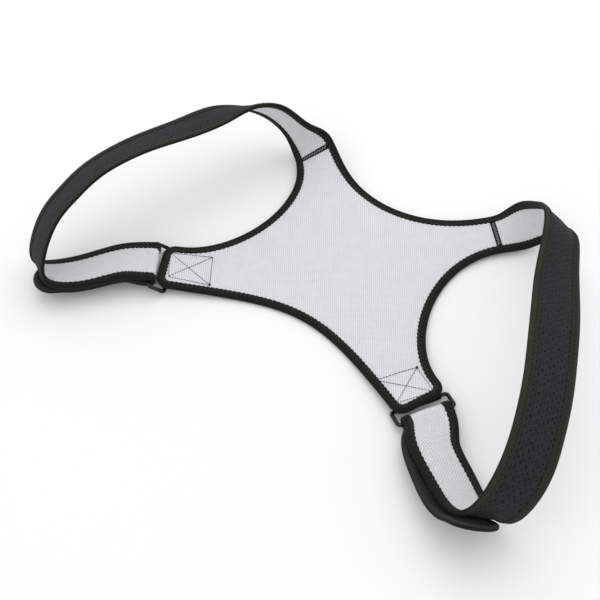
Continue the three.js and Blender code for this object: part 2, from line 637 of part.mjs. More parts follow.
// The keeper: webbing sewn under the lower arm, round the held bar and back along the table
function keeperGeometry(side) {
  const wrap = BAR_RADIUS + CLEARANCE + KEEPER / 2;
  const { out, heldBar, across } = ringFrame(side);
  const back = out.clone().negate();
  const foot = heldBar.clone().setZ(0);
  const skew = (KEEPER_WIDTH / 2) * Math.sin(rad(RING_LAY[side].turn));
  const stations = [];
  const run = KEEPER_LENGTH - KEEPER_BAR_INSET;
  const upperSteps = 4;
  for (let i = upperSteps; i > 0; i--) {
    const inset = (run * i) / upperSteps;
    const rise = LOWER_ARM_RISE * (1 - (inset + skew + KEEPER_BAR_INSET) / LOWER_ARM_BEND) ** 2;
    const middle = foot.clone().addScaledVector(back, inset).setZ(rise - CLEARANCE - KEEPER / 2);
    stations.push({ middle, normal: Z });
  }
  const turns = 6;
  for (let i = 0; i <= turns; i++) {
    const angle = (Math.PI * i) / turns;
    const normal = Z.clone().multiplyScalar(Math.cos(angle)).addScaledVector(out, Math.sin(angle));
    stations.push({ middle: heldBar.clone().addScaledVector(normal, wrap), normal });
  }
  const end = foot.clone().addScaledVector(back, run).setZ(KEEPER / 2);
  stations.push({ middle: end, normal: Z.clone().negate() });
  const sections = stations.map(({ middle, normal }) =>
    [[-1, -1], [1, -1], [1, 1], [-1, 1]].map(([a, b]) =>
      mirrorTo(side, middle.clone()
        .addScaledVector(across, (a * KEEPER_WIDTH) / 2)
        .addScaledVector(normal, (b * KEEPER) / 2))));
  return loft(sections, BAR_CAP);
}

// Materials: colours as they show in soft light
const finish = (color, roughness) => new THREE.MeshStandardMaterial({ color, roughness, metalness: 0 });
const LINING = 0xd3d4d8;
const STRAP_CLOTH = 0x35363a;
const BINDING = 0x24241f;
const THREAD_BLACK = 0x2a2a28;
const PLASTIC = 0x121212;
const WEBBING = 0x1c1c1c;

const posture_corrector = new THREE.Group();
function piece(name, geometry, material) {
  const mesh = new THREE.Mesh(geometry, material);
  mesh.name = name;
  posture_corrector.add(mesh);
}

const bound = panelEdges(CLEARANCE / 2);
piece('back_panel', panelGeometry(), finish(LINING, 0.9));
piece('neck_binding', panelBindingGeometry(bound.neck), finish(BINDING, 0.85));
piece('lower_binding', panelBindingGeometry(bound.lower), finish(BINDING, 0.85));
for (const side of ['left', 'right']) {
  piece(`shoulder_strap_${side}`, strapGeometry(side), finish(STRAP_CLOTH, 0.95));
  piece(`strap_binding_${side}`, strapBindingGeometry(side), finish(BINDING, 0.85));
  piece(`seam_band_${side}`, seamBandGeometry(side), finish(THREAD_BLACK, 0.8));
  piece(`ring_${side}`, ringGeometry(side), finish(PLASTIC, 0.25));
  piece(`ring_keeper_${side}`, keeperGeometry(side), finish(WEBBING, 0.9));
}

export default posture_corrector;
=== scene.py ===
"""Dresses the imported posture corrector: cloth, bound edges, straps, rings, keepers and thread."""

import logging
from collections.abc import Callable
from dataclasses import dataclass, field
from enum import Enum
from functools import partial

import bpy
import numpy as np
from mathutils import Matrix, Vector


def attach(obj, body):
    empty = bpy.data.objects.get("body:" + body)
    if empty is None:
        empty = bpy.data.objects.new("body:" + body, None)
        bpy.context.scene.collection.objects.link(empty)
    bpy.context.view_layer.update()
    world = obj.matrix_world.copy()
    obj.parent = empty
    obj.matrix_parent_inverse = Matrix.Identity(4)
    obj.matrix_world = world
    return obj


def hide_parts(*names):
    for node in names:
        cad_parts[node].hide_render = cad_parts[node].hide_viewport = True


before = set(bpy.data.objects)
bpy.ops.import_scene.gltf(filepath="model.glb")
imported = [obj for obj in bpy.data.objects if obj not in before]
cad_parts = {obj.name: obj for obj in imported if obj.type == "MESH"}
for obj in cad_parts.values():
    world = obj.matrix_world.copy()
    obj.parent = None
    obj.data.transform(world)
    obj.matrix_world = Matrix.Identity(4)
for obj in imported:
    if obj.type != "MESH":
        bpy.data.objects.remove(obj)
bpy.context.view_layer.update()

logging.basicConfig(level=logging.INFO, format="%(message)s")
log = logging.getLogger("posture_corrector")

Array = np.ndarray
Surface = Callable[[Array, Array], Array]
Material, Object, Socket = bpy.types.Material, bpy.types.Object, bpy.types.NodeSocket
MM = 0.001  # every size below is in millimetres, and meshes are in metres
STEP = 0.5  # small step for slopes
SMOOTH = 180.0  # crease angle of a piece without a sharp edge
THREAD_END = 0.35  # size of a thread's two ends, as a share of its radius
SCREEN_POWER = 2.2
SPECULAR = 0.3  # how much a surface mirrors where its finish doesn't say
UP = np.array([0.0, 0.0, 1.0])


class Side(Enum):
    """One half of the brace, with the sign of its x."""

    RIGHT = 1
    LEFT = -1

    @property
    def word(self) -> str:
        """The side's name as it stands in the nodes' names."""
        return self.name.lower()

    def place(self, points: Array) -> Array:
        """Points of the right half, moved to this side."""
        return points * (self.value, 1, 1)


def unit(vectors: Array) -> Array:
    """Each vector divided by its length."""
    return vectors / np.linalg.norm(vectors, axis=-1, keepdims=True)


def smoothstep(value: Array, low: float = 0.0, high: float = 1.0) -> Array:
    """Three times the square less twice the cube of the share of the way from low to high."""
    share = np.clip((value - low) / (high - low), 0, 1)
    return share * share * (3 - 2 * share)


def along(start: Array, end: Array, share: Array) -> Array:
    """Points on the straight line from start to end, at each share of it."""
    return start + (end - start) * np.asarray(share)[..., None]


@dataclass(frozen=True)
class Cut:
    """Sizes that the cloth, its binding and the straps share."""

    sheet: float = 2.5
    tape: float = 0.8
    tape_width: float = 9.0
    tape_flat: float = 22.7  # width of the tape before it is folded
    clearance: float = 0.3
    strap_width: float = 50.0
    band_width: float = 5.5
    band_ridge: float = 0.6

    @property
    def mid(self) -> float:
        """Height of the cloth's middle where its binding lies flat."""
        return self.sheet / 2 + self.clearance + self.tape

    @property
    def edge_inset(self) -> float:
        """The cloth's edge lies this far inside the binding's fold."""
        return self.tape + self.clearance

    @property
    def half(self) -> float:
        """Half the width of a strap."""
        return self.strap_width / 2

    @property
    def open_half(self) -> float:
        """Half the width of a strap's cloth between its bindings."""
        return self.half - self.tape_width


CUT = Cut()


# Meshes


def grid(rows: int, columns: int, round_rows: bool = False, round_columns: bool = False) -> Array:
    """Quads of a grid of points that are numbered row by row.

    Args:
        rows: Number of rows.
        columns: Number of points in a row.
        round_rows: Whether the last row joins the first.
        round_columns: Whether each row's last point joins its first.

    Returns:
        One row of four point numbers for each quad.
    """
    i, j = np.meshgrid(
        np.arange(rows - (not round_rows)), np.arange(columns - (not round_columns)), indexing="ij"
    )
    down, right = (i + 1) % rows, (j + 1) % columns
    corners = [i * columns + j, down * columns + j, down * columns + right, i * columns + right]
    return np.stack(corners, -1).reshape(-1, 4)


def volume(points: Array, faces: Array) -> float:
    """Signed volume: a sixth of the sum, over the triangles, of one corner dotted with the cross
    product of the other two.

    Args:
        points: The points.
        faces: Point numbers of faces with equally many corners.

    Returns:
        The volume under the faces, positive where they point outwards.
    """
    total = 0.0
    for k in range(1, faces.shape[1] - 1):
        a, b, c = points[faces[:, 0]], points[faces[:, k]], points[faces[:, k + 1]]
        total += float(np.einsum("ij,ij->i", a, np.cross(b, c)).sum()) / 6
    return total


def linked(name: str, data: bpy.types.ID) -> Object:
    """Makes an object in the scene.

    Args:
        name: Its name.
        data: Its mesh, lamp or lens.

    Returns:
        The object.
    """
    made = bpy.data.objects.new(name, data)
    bpy.context.scene.collection.objects.link(made)
    return made


@dataclass
class Shell:
    """A closed body on its way to a mesh: points, groups of equal faces, and what rides on them."""

    points: Array
    faces: list[Array]
    uv: Array
    dress: list[Array] = field(default_factory=list)

    def to_object(self, name: str, finishes: list[Material], crease: float = 50.0) -> Object:
        """Makes the Blender object, facing outwards, smooth but for edges sharper than crease.

        Args:
            name: The piece's name.
            finishes: Its materials, in the order that dress numbers them.
            crease: Angle in degrees past which an edge stays sharp.

        Returns:
            The object, linked to the scene and riding on the one body.
        """
        faces = self.faces
        if sum(volume(self.points, group) for group in faces) < 0:
            faces = [group[:, ::-1] for group in faces]
        loops = np.concatenate([group.ravel() for group in faces])
        sizes = np.concatenate([np.full(len(group), group.shape[1]) for group in faces])
        mesh = bpy.data.meshes.new(name)
        mesh.vertices.add(len(self.points))
        mesh.vertices.foreach_set("co", (self.points * MM).astype(np.float32).ravel())
        mesh.loops.add(len(loops))
        mesh.loops.foreach_set("vertex_index", loops.astype(np.int32))
        mesh.polygons.add(len(sizes))
        starts = np.concatenate([[0], np.cumsum(sizes)[:-1]])
        mesh.polygons.foreach_set("loop_start", starts.astype(np.int32))
        mesh.update(calc_edges=True)
        mesh.polygons.foreach_set("use_smooth", np.ones(len(sizes), bool))
        if self.dress:
            mesh.polygons.foreach_set("material_index", np.concatenate(self.dress).astype(np.int32))
        mesh.uv_layers.new(name="cloth").data.foreach_set(
            "uv", (self.uv[loops] * MM).astype(np.float32).ravel()
        )
        mesh.set_sharp_from_angle(angle=np.radians(crease))
        for finish in finishes:
            mesh.materials.append(finish)
        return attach(linked(name, mesh), "root")


def loft(sections: Array, uv: Array | None = None, closed: bool = False) -> Shell:
    """A body through equal ring sections. Point i of a ring lies opposite point i from its end, so
    both ends are closed by strips of quads between such pairs.

    Args:
        sections: Array of sections by ring points by three.
        uv: Array of sections by ring points by two, or None for the ring's place and the section's.
        closed: Whether the last section joins the first, with no ends to close.

    Returns:
        The closed shell.
    """
    count, ring = sections.shape[:2]
    if uv is None:
        i, j = np.meshgrid(np.arange(count), np.arange(ring), indexing="ij")
        uv = np.stack([j, i], -1)
    faces = grid(count, ring, round_rows=closed, round_columns=True)
    if not closed:
        i = np.arange(ring // 2 - 1)
        cap = np.stack([i, i + 1, ring - 2 - i, ring - 1 - i], -1)
        faces = np.concatenate([faces, cap, cap[:, ::-1] + (count - 1) * ring])
    return Shell(sections.reshape(-1, 3), [faces], uv.reshape(-1, 2).astype(float))


def ply(middle: Array, lift: Array, uv: Array) -> Shell:
    """A sheet with two faces: a grid of points moved up and moved down.

    Args:
        middle: Array of sections by points by three.
        lift: The way from the middle up to the upper face at each point.
        uv: The UV map's place of each point, the same on both faces.

    Returns:
        The closed shell.
    """
    sections = np.concatenate([middle + lift, (middle - lift)[:, ::-1]], axis=1)
    return loft(sections, np.concatenate([uv, uv[:, ::-1]], axis=1))


def tube(path: Array, up: Array, radius: float, sides: int = 6) -> Shell:
    """A thread: circles round a path in the plane square to it, smaller at both ends.

    Args:
        path: Array of points by three.
        up: The surface's normal at each point.
        radius: Radius of the thread.
        sides: Points round it, an even number.

    Returns:
        The closed shell.
    """
    way = unit(np.gradient(path, axis=0))
    beside = unit(np.cross(up, way))
    over = np.cross(way, beside)
    angle = (np.arange(sides) + 0.5) * 2 * np.pi / sides
    size = np.full(len(path), radius)
    size[[0, -1]] *= THREAD_END
    cosine, sine = np.cos(angle)[None, :, None], np.sin(angle)[None, :, None]
    spokes = cosine * beside[:, None] + sine * over[:, None]
    return loft(path[:, None] + spokes * size[:, None, None])


def joined(shells: list[Shell]) -> Shell:
    """Several shells as one, with their point numbers moved on.

    Args:
        shells: The shells, none of them dressed yet.

    Returns:
        One shell with all their points and groups of faces.
    """
    starts = np.concatenate([[0], np.cumsum([len(s.points) for s in shells])[:-1]])
    faces = [group + start for s, start in zip(shells, starts) for group in s.faces]
    points, uv = (np.concatenate(rows) for rows in zip(*((s.points, s.uv) for s in shells)))
    return Shell(points, faces, uv)


# Finishes


def srgb(red: int, green: int, blue: int) -> tuple[float, float, float, float]:
    """A screen colour from 0 to 255 as linear light, by the usual power of 2.2."""
    return tuple((c / 255) ** SCREEN_POWER for c in (red, green, blue)) + (1.0,)


class Graph:
    """A material's nodes, with short calls to add and join them."""

    def __init__(self, name: str, colour: tuple, roughness: float) -> None:
        """Starts a material.

        Args:
            name: Its name.
            colour: Its all-over colour, also in plain view.
            roughness: Its all-over roughness.
        """
        self.material = bpy.data.materials.new(name)
        self.material.use_nodes = True
        self.material.diffuse_color = colour
        self.nodes = self.material.node_tree.nodes
        self.shader = self.nodes["Principled BSDF"]
        self.shader.inputs["Base Color"].default_value = colour
        self.shader.inputs["Roughness"].default_value = roughness
        self.shader.inputs["Specular IOR Level"].default_value = SPECULAR

    def add(
        self, kind: str, *values: object, named: dict | None = None, **settings: object
    ) -> Socket:
        """Adds a node.

        Args:
            kind: The node's type without its ShaderNode prefix.
            values: A socket to join or a value to set for each input, in order.
            named: The same for other inputs, by name or number.
            settings: Properties of the node.

        Returns:
            Its first output.
        """
        node = self.nodes.new("ShaderNode" + kind)
        for key, value in settings.items():
            setattr(node, key, value)
        for key, value in (dict(enumerate(values)) | (named or {})).items():
            if isinstance(value, Socket):
                self.link(value, node.inputs[key])
            else:
                node.inputs[key].default_value = value
        return node.outputs[0]

    def math(self, word: str, *values: object) -> Socket:
        """One step of arithmetic on sockets or numbers."""
        return self.add("Math", *values, operation=word)

    def link(self, value: Socket, socket: Socket) -> None:
        """Joins an output to an input."""
        self.material.node_tree.links.new(value, socket)

    def place(self, on_cloth: bool) -> Socket:
        """The pattern's coordinates.

        Args:
            on_cloth: Whether they are the piece's own UV map, not its place in the frame.

        Returns:
            The coordinates.
        """
        if on_cloth:
            return self.add("UVMap", uv_map="cloth")
        self.add("TexCoord")
        return self.nodes[-1].outputs["Object"]

    def split(self, place: Socket, turn: float = 0.0) -> tuple[Socket, Socket]:
        """Turns a place and splits it.

        Args:
            place: The coordinates.
            turn: Angle in degrees about the z axis.

        Returns:
            The turned place's x and y.
        """
        turned = self.add("Mapping", place, named={"Rotation": (0, 0, np.radians(turn))})
        self.add("SeparateXYZ", turned)
        return self.nodes[-1].outputs[0], self.nodes[-1].outputs[1]

    def wave(self, value: Socket, period: float) -> Socket:
        """Half of one plus the sine of the value over the period, in millimetres."""
        turned = self.math("MULTIPLY", value, 2 * np.pi / (period * MM))
        return self.math("MULTIPLY_ADD", self.math("SINE", turned), 0.5, 0.5)

    def noise(self, place: Socket, size: float, detail: float = 3.0) -> Socket:
        """Cloudy noise.

        Args:
            place: The coordinates.
            size: Width of its spots, in millimetres.
            detail: How many finer layers it has.

        Returns:
            The noise, from 0 to 1.
        """
        inputs = {"Vector": place, "Scale": 1 / (size * MM), "Detail": detail}
        return self.add("TexNoise", named=inputs, noise_dimensions="3D")

    def blend(
        self, first: Socket, weight: float, second: Socket, other: float, base: float = 0.0
    ) -> Socket:
        """A base plus the first times its weight plus the second times the other weight."""
        rest = self.math("MULTIPLY_ADD", second, other, base)
        return self.math("MULTIPLY_ADD", first, weight, rest)

    def tint(self, share: Socket, low: tuple, high: tuple) -> None:
        """Paints the surface.

        Args:
            share: Share of the way from the low colour to the high one.
            low: The colour at 0.
            high: The colour at 1.
        """
        self.add("Mix", share, named={6: low, 7: high}, data_type="RGBA")
        self.link(self.nodes[-1].outputs[2], self.shader.inputs["Base Color"])

    def relief(self, height: Socket, depth: float) -> None:
        """Bumps the surface.

        Args:
            height: The height, from 0 to 1.
            depth: What 1 stands for, in millimetres.
        """
        inputs = {"Strength": 1.0, "Distance": depth * MM, "Height": height}
        self.link(self.add("Bump", named=inputs), self.shader.inputs["Normal"])

    def rough(self, share: Socket, low: float, high: float) -> None:
        """Lets the roughness go from low to high by a share."""
        value = self.math("MULTIPLY_ADD", share, high - low, low)
        self.link(value, self.shader.inputs["Roughness"])

    def gloss(self, specular: float, sheen: float = 0.0) -> None:
        """Sets how much the surface mirrors, and the soft edge light of its fibres."""
        self.shader.inputs["Specular IOR Level"].default_value = specular
        self.shader.inputs["Sheen Weight"].default_value = sheen


@dataclass(frozen=True)
class MeshLining:
    """Light grey knitted mesh: fine ribs, smaller knots across them, and small dark holes."""

    name: str
    on_cloth: bool
    turn: float
    rib: float = 2.1
    knot: float = 1.5
    light: tuple = srgb(222, 223, 226)
    dark: tuple = srgb(174, 176, 180)

    def material(self) -> Material:
        """Builds the material.

        Returns:
            The finished material: holes where the ribs' and the knots' waves are both low, and
            a little noise.
        """
        g = Graph(self.name, self.light, roughness=0.9)
        place = g.place(self.on_cloth)
        x, y = g.split(place, self.turn)
        rib, knot = g.wave(x, self.rib), g.wave(y, self.knot)
        hole = g.math("MULTIPLY", g.math("SUBTRACT", 1.0, rib), g.math("SUBTRACT", 1.0, knot))
        height = g.math("SUBTRACT", 1.0, hole)
        cloud = g.noise(place, size=9.0)
        g.tint(g.blend(cloud, 0.35, height, 0.85, base=-0.03), self.dark, self.light)
        g.rough(cloud, low=0.82, high=0.98)
        g.relief(height, depth=0.3)
        g.gloss(SPECULAR, sheen=0.15)
        return g.material


@dataclass(frozen=True)
class BrushedCloth:
    """Charcoal brushed cloth with small dark perforations in offset rows that stray a little."""

    name: str
    on_cloth: bool
    pitch: float = 4.8
    dot: float = 0.3  # how far under a wave's top a perforation reaches
    contrast: float = 1.6
    hole: float = 2.0  # depth of a perforation, in heights of the fibres
    stray: float = 6.0  # how far the rows stray from straight lines, in millimetres
    light: tuple = srgb(53, 53, 56)
    dark: tuple = srgb(13, 13, 14)

    def material(self) -> Material:
        """Builds the material.

        Returns:
            The finished material: a dot stands where both diagonal waves are near their top, over
            fibre noise.
        """
        g = Graph(self.name, self.light, roughness=0.95)
        place = g.place(self.on_cloth)
        x, y = g.split(place, turn=45.0)
        stray = g.math("MULTIPLY", g.noise(place, size=11.0, detail=1.0), self.stray * MM)
        x, y = g.math("ADD", x, stray), g.math("SUBTRACT", y, stray)
        peak = g.math("MULTIPLY", g.wave(x, self.pitch), g.wave(y, self.pitch))
        over = g.math("SUBTRACT", peak, 1 - self.dot)
        dot = g.math("MULTIPLY", over, self.contrast / self.dot)
        dot = g.math("MINIMUM", g.math("MAXIMUM", dot, 0.0), 1.0)
        fibre = g.noise(place, size=1.1, detail=4.0)
        cloud = g.noise(place, size=5.0)
        shade = g.math("SUBTRACT", g.blend(cloud, 0.7, fibre, 0.8, base=-0.05), dot)
        g.tint(g.math("MAXIMUM", shade, 0.0), self.dark, self.light)
        g.rough(fibre, low=0.85, high=1.0)
        sunk = g.math("MULTIPLY", dot, self.hole)
        g.relief(g.math("SUBTRACT", fibre, sunk), depth=0.35)
        g.gloss(specular=0.1, sheen=0.05)
        return g.material


@dataclass(frozen=True)
class WovenTape:
    """Near-black woven tape: fine cross ribs with cloudy wear."""

    name: str
    rib: float = 1.1
    light: tuple = srgb(38, 38, 36)
    dark: tuple = srgb(20, 20, 18)
    warp_share: float = 0.8  # width of a rib along the tape, as a share of one across it

    def material(self) -> Material:
        """Builds the material.

        Returns:
            The finished material: ribs across the tape's length and finer ones along it.
        """
        g = Graph(self.name, self.light, roughness=0.9)
        place = g.place(on_cloth=True)
        across, length = g.split(place)
        warp = g.wave(across, self.rib * self.warp_share)
        weave = g.math("MULTIPLY", g.wave(length, self.rib), warp)
        cloud = g.noise(place, size=6.0)
        g.tint(g.blend(cloud, 0.6, weave, 0.5), self.dark, self.light)
        g.rough(cloud, low=0.8, high=0.95)
        g.relief(weave, depth=0.15)
        g.gloss(specular=0.15, sheen=0.04)
        return g.material


@dataclass(frozen=True)
class Thread:
    """Sewing thread, streaked by lighter and darker fibres."""

    name: str
    colour: tuple
    fade: tuple

    def material(self) -> Material:
        """Builds the material.

        Returns:
            The finished material: fine noise in the frame's coordinates.
        """
        g = Graph(self.name, self.colour, roughness=0.6)
        streak = g.noise(g.place(on_cloth=False), size=0.6, detail=2.0)
        g.tint(streak, self.fade, self.colour)
        g.rough(streak, low=0.45, high=0.7)
        g.relief(streak, depth=0.05)
        return g.material


@dataclass(frozen=True)
class GlossPlastic:
    """Moulded glossy black plastic with a faint ripple and fine handling marks."""

    name: str
    colour: tuple = srgb(10, 10, 11)
    worn: tuple = srgb(17, 17, 18)

    def material(self) -> Material:
        """Builds the material.

        Returns:
            The finished material: broad low ripple in relief, fine noise in roughness.
        """
        g = Graph(self.name, self.colour, roughness=0.2)
        place = g.place(on_cloth=False)
        g.tint(g.noise(place, size=4.0), self.colour, self.worn)
        g.rough(g.noise(place, size=1.5), low=0.14, high=0.3)
        g.relief(g.noise(place, size=7.0, detail=1.0), depth=0.15)
        g.gloss(specular=0.4)
        return g.material


@dataclass(frozen=True)
class TableTop:
    """Plain white table."""

    name: str = "table_white"
    colour: tuple = (0.9, 0.9, 0.9, 1.0)

    def material(self) -> Material:
        """Builds the material: one pale colour, matt."""
        return Graph(self.name, self.colour, roughness=0.8).material


Finish = MeshLining | BrushedCloth | WovenTape | Thread | GlossPlastic


def finished(finish: Finish) -> Material:
    """A field whose value is the finish's material, made when the fields are filled."""
    return field(default_factory=finish.material)


@dataclass(frozen=True)
class Finishes:
    """Every finish of the brace."""

    panel_lining: Material = finished(MeshLining("lining_mesh_panel", False, -32.4))
    strap_lining: Material = finished(
        MeshLining(
            "lining_mesh_strap", True, 40.0, 2.2, 2.2, srgb(219, 220, 222), srgb(158, 159, 162)
        )
    )
    panel_back: Material = finished(BrushedCloth("brushed_cloth_panel", False))
    strap_cloth: Material = finished(BrushedCloth("brushed_cloth_strap", True))
    tape: Material = finished(WovenTape("woven_tape"))
    tape_outer: Material = finished(
        WovenTape("woven_tape_outer", 1.1, srgb(59, 59, 53), srgb(38, 38, 34))
    )
    webbing: Material = finished(
        WovenTape("webbing_weave", 2.2, srgb(38, 38, 38), srgb(20, 20, 20))
    )
    thread: Material = finished(Thread("thread_black", srgb(60, 60, 55), srgb(30, 30, 27)))
    sewing: Material = finished(Thread("thread_fine", srgb(26, 26, 25), srgb(10, 10, 10)))
    grey_thread: Material = finished(Thread("thread_grey", srgb(168, 168, 170), srgb(96, 96, 97)))
    plastic: Material = finished(GlossPlastic("ring_gloss"))


# The panel's shape


@dataclass(frozen=True)
class ArmLay:
    """How one upper arm lies at its seam: lifted, tilted, and moved in and footward."""

    rise: float
    tilt: float
    inward: float
    footward: float


@dataclass(frozen=True)
class Edge:
    """Stations along an edge: places in plan, ways into the cloth, and the run so far."""

    plan: Array
    inward: Array
    run: Array

    def at(self, run: Array) -> "Edge":
        """Stations at other places along it, on the straight lines between its own.

        Args:
            run: Distance along the edge at each new station.

        Returns:
            The new stations.
        """
        plan, inward = (
            np.column_stack([np.interp(run, self.run, rows[:, k]) for k in (0, 1)])
            for rows in (self.plan, self.inward)
        )
        return Edge(plan, unit(inward), run)


def bezier(a: Array, b: Array, c: Array, d: Array, count: int = 240) -> Array:
    """A cubic curve from a to d with handles b and c, by the four points' cubic weights."""
    t = np.linspace(0, 1, count)[:, None]
    return (1 - t) ** 3 * a + 3 * t * (1 - t) ** 2 * b + 3 * t**2 * (1 - t) * c + t**3 * d


def stations(points: Array, step: float, held: float) -> Edge:
    """Even stations along a line through points.

    Args:
        points: Places in plan, close together.
        step: Distance between stations.
        held: How far the first and last station stop short of the line's ends.

    Returns:
        The stations. The cloth lies to the right of the way along them.
    """
    chords = np.linalg.norm(np.diff(points, axis=0), axis=1)
    points = np.concatenate([points[:1], points[1:][chords > 1e-6]])
    run = np.concatenate([[0], np.cumsum(chords[chords > 1e-6])])
    at = np.linspace(held, run[-1] - held, round((run[-1] - 2 * held) / step) + 1)
    plan = np.column_stack([np.interp(at, run, points[:, k]) for k in (0, 1)])
    way = unit(np.gradient(plan, axis=0))
    return Edge(plan, np.column_stack([way[:, 1], -way[:, 0]]), at - at[0])


def heading(angle: float) -> Array:
    """The plan direction at an angle in degrees, clockwise from +Y."""
    return np.array([np.sin(np.radians(angle)), np.cos(np.radians(angle))])


@dataclass(frozen=True)
class PanelShape:
    """The X-shaped panel's outline and how it lies on the table."""

    seam: tuple = (116.0, 109.0)
    upper_angle: float = 49.0
    tip: tuple = (157.0, -119.0)
    lower_angle: float = 63.0
    lower_width: float = 56.0
    tip_corner: float = 14.0
    corner_points: int = 24
    neck_pull: float = 86.0
    armhole_upper: float = 72.0
    armhole_lower: float = 58.0
    hem_pull: float = 128.0
    centre_y: float = -8.0
    rim_start: float = 0.5
    upper_bend: float = 80.0
    twist_power: float = 1.5
    lower_bend: float = 120.0
    lower_rise: float = 8.6974
    fullness: float = 0.55
    full_at: float = 30.0  # distance from the edge where the lining is full
    crossed_wave: float = 0.45
    crossed_lengths: tuple = (17, 21)
    crossed_phases: tuple = (0.8, 0.4)
    slanted_wave: float = 0.25
    slanted_length: float = 12
    arms: dict = field(
        default_factory=lambda: {Side.RIGHT: ArmLay(4, 2, 0, 0), Side.LEFT: ArmLay(13, 27, 6, 8)}
    )

    @property
    def upper_arm(self) -> Array:
        """The way out along an upper arm."""
        return heading(self.upper_angle)

    @property
    def upper_side(self) -> Array:
        """The way across an upper arm, towards its armhole."""
        return self.upper_arm[::-1] * (1, -1)

    @property
    def lower_arm(self) -> Array:
        """The way out along a lower arm."""
        return heading(180 - self.lower_angle)

    @property
    def lower_side(self) -> Array:
        """The way across a lower arm, towards its armhole."""
        return self.lower_arm[::-1] * (-1, 1)

    def lay(self, plan: Array, side: Side, rim: Array | float = 1.0) -> Array:
        """Moves places in plan to where the cloth's middle lies. An arm rises by the square of the
        share of its bend, an upper arm turns about its middle line by a power of that, and a bound
        edge stands on its binding.

        Args:
            plan: Places in plan.
            side: The half that they lie in.
            rim: From 0 in the open panel to 1 at a bound edge.

        Returns:
            Points in the frame.
        """
        p = plan * (side.value, 1)
        z = CUT.sheet / 2 + rim * CUT.edge_inset + 0 * p[..., 0]
        from_seam = p - self.seam
        share = np.maximum(0, 1 + from_seam @ self.upper_arm / self.upper_bend) ** 2
        across = -(from_seam @ self.upper_side)
        arm = self.arms[side]
        angle = np.radians(arm.tilt) * share**self.twist_power
        slid = across * (1 - np.cos(angle))
        upper = np.stack(
            [
                p[..., 0] + self.upper_side[0] * slid - arm.inward * share,
                p[..., 1] + self.upper_side[1] * slid - arm.footward * share,
                z + arm.rise * share + across * np.sin(angle),
            ],
            -1,
        )
        bend = np.maximum(0, 1 + (p - self.tip) @ self.lower_arm / self.lower_bend) ** 2
        lower = np.stack([p[..., 0], p[..., 1], z + self.lower_rise * bend], -1)
        return side.place(np.where(p[..., 1:] > 0, upper, lower))

    def surface(self, plan: Array, rim: Array | float = 1.0) -> tuple[Array, Array]:
        """The cloth's middle, each place on the side where it lies, with normals by differences.

        Args:
            plan: Places in plan.
            rim: From 0 in the open panel to 1 at a bound edge.

        Returns:
            Points in the frame and their upward normals.
        """
        found = []
        for side in Side:
            here = self.lay(plan, side, rim)
            by_x = self.lay(plan + (STEP, 0), side, rim) - here
            by_y = self.lay(plan + (0, STEP), side, rim) - here
            found.append((here, unit(np.cross(by_x, by_y))))
        right = plan[..., :1] >= 0
        return tuple(np.where(right, a, b) for a, b in zip(*found))

    def neck(self, step: float, held: float) -> Edge:
        """The neck edge, from the left seam to the right one.

        Args:
            step: Distance between stations.
            held: How far it stops short of both seams.

        Returns:
            Its stations.
        """
        corner = self.seam - self.upper_side * CUT.half
        handle = corner - self.upper_arm * self.neck_pull
        flip = (-1, 1)
        return stations(bezier(corner * flip, handle * flip, handle, corner), step, held)

    def rounded(self, at: Array, arriving: Array, leaving: Array) -> Array:
        """A quarter circle between two straight edges that meet square.

        Args:
            at: Where the edges meet.
            arriving: The way along the first edge.
            leaving: The way along the second edge.

        Returns:
            Points of the corner.
        """
        centre = at + (leaving - arriving) * self.tip_corner
        angle = np.linspace(0, np.pi / 2, self.corner_points)[:, None]
        return centre + self.tip_corner * (np.sin(angle) * arriving - np.cos(angle) * leaving)

    def lower(self, step: float, held: float) -> Edge:
        """The edge from the right armpit round both lower arms and the hem to the left armpit.

        Args:
            step: Distance between stations.
            held: How far it stops short of both seams.

        Returns:
            Its stations.
        """
        armpit = self.seam + self.upper_side * CUT.half
        top = self.tip + self.lower_side * self.lower_width / 2
        foot = self.tip - self.lower_side * self.lower_width / 2
        inner_top = top - self.lower_arm * self.tip_corner
        armhole = bezier(
            armpit,
            armpit - self.upper_arm * self.armhole_upper,
            inner_top - self.lower_arm * self.armhole_lower,
            inner_top,
        )
        top_corner = self.rounded(top, self.lower_arm, -self.lower_side)
        foot_corner = self.rounded(foot, -self.lower_side, -self.lower_arm)
        start = foot - self.lower_arm * self.tip_corner
        handle = start - self.lower_arm * self.hem_pull
        flip = np.array((-1, 1))
        hem = bezier(start, handle, handle * flip, start * flip)
        right = np.concatenate([armhole, top_corner, foot_corner])
        return stations(np.concatenate([right, hem[1:-1], right[::-1] * flip]), step, held)

    def outline(self, step: float) -> Array:
        """The cloth's edge in plan, closed across both seams.

        Args:
            step: Distance between its points.

        Returns:
            The points.
        """
        held = CUT.band_width / 2 + CUT.clearance
        loop = []
        for edge in (self.neck(step, held), self.lower(step, held)):
            loop.append(edge.plan + edge.inward * CUT.edge_inset)
        shares = np.linspace(0, 1, round(CUT.strap_width / step) + 1)[1:-1]
        right = along(loop[0][-1], loop[1][0], shares)
        left = along(loop[1][-1], loop[0][0], shares)
        return np.concatenate([loop[0], right, loop[1], left])

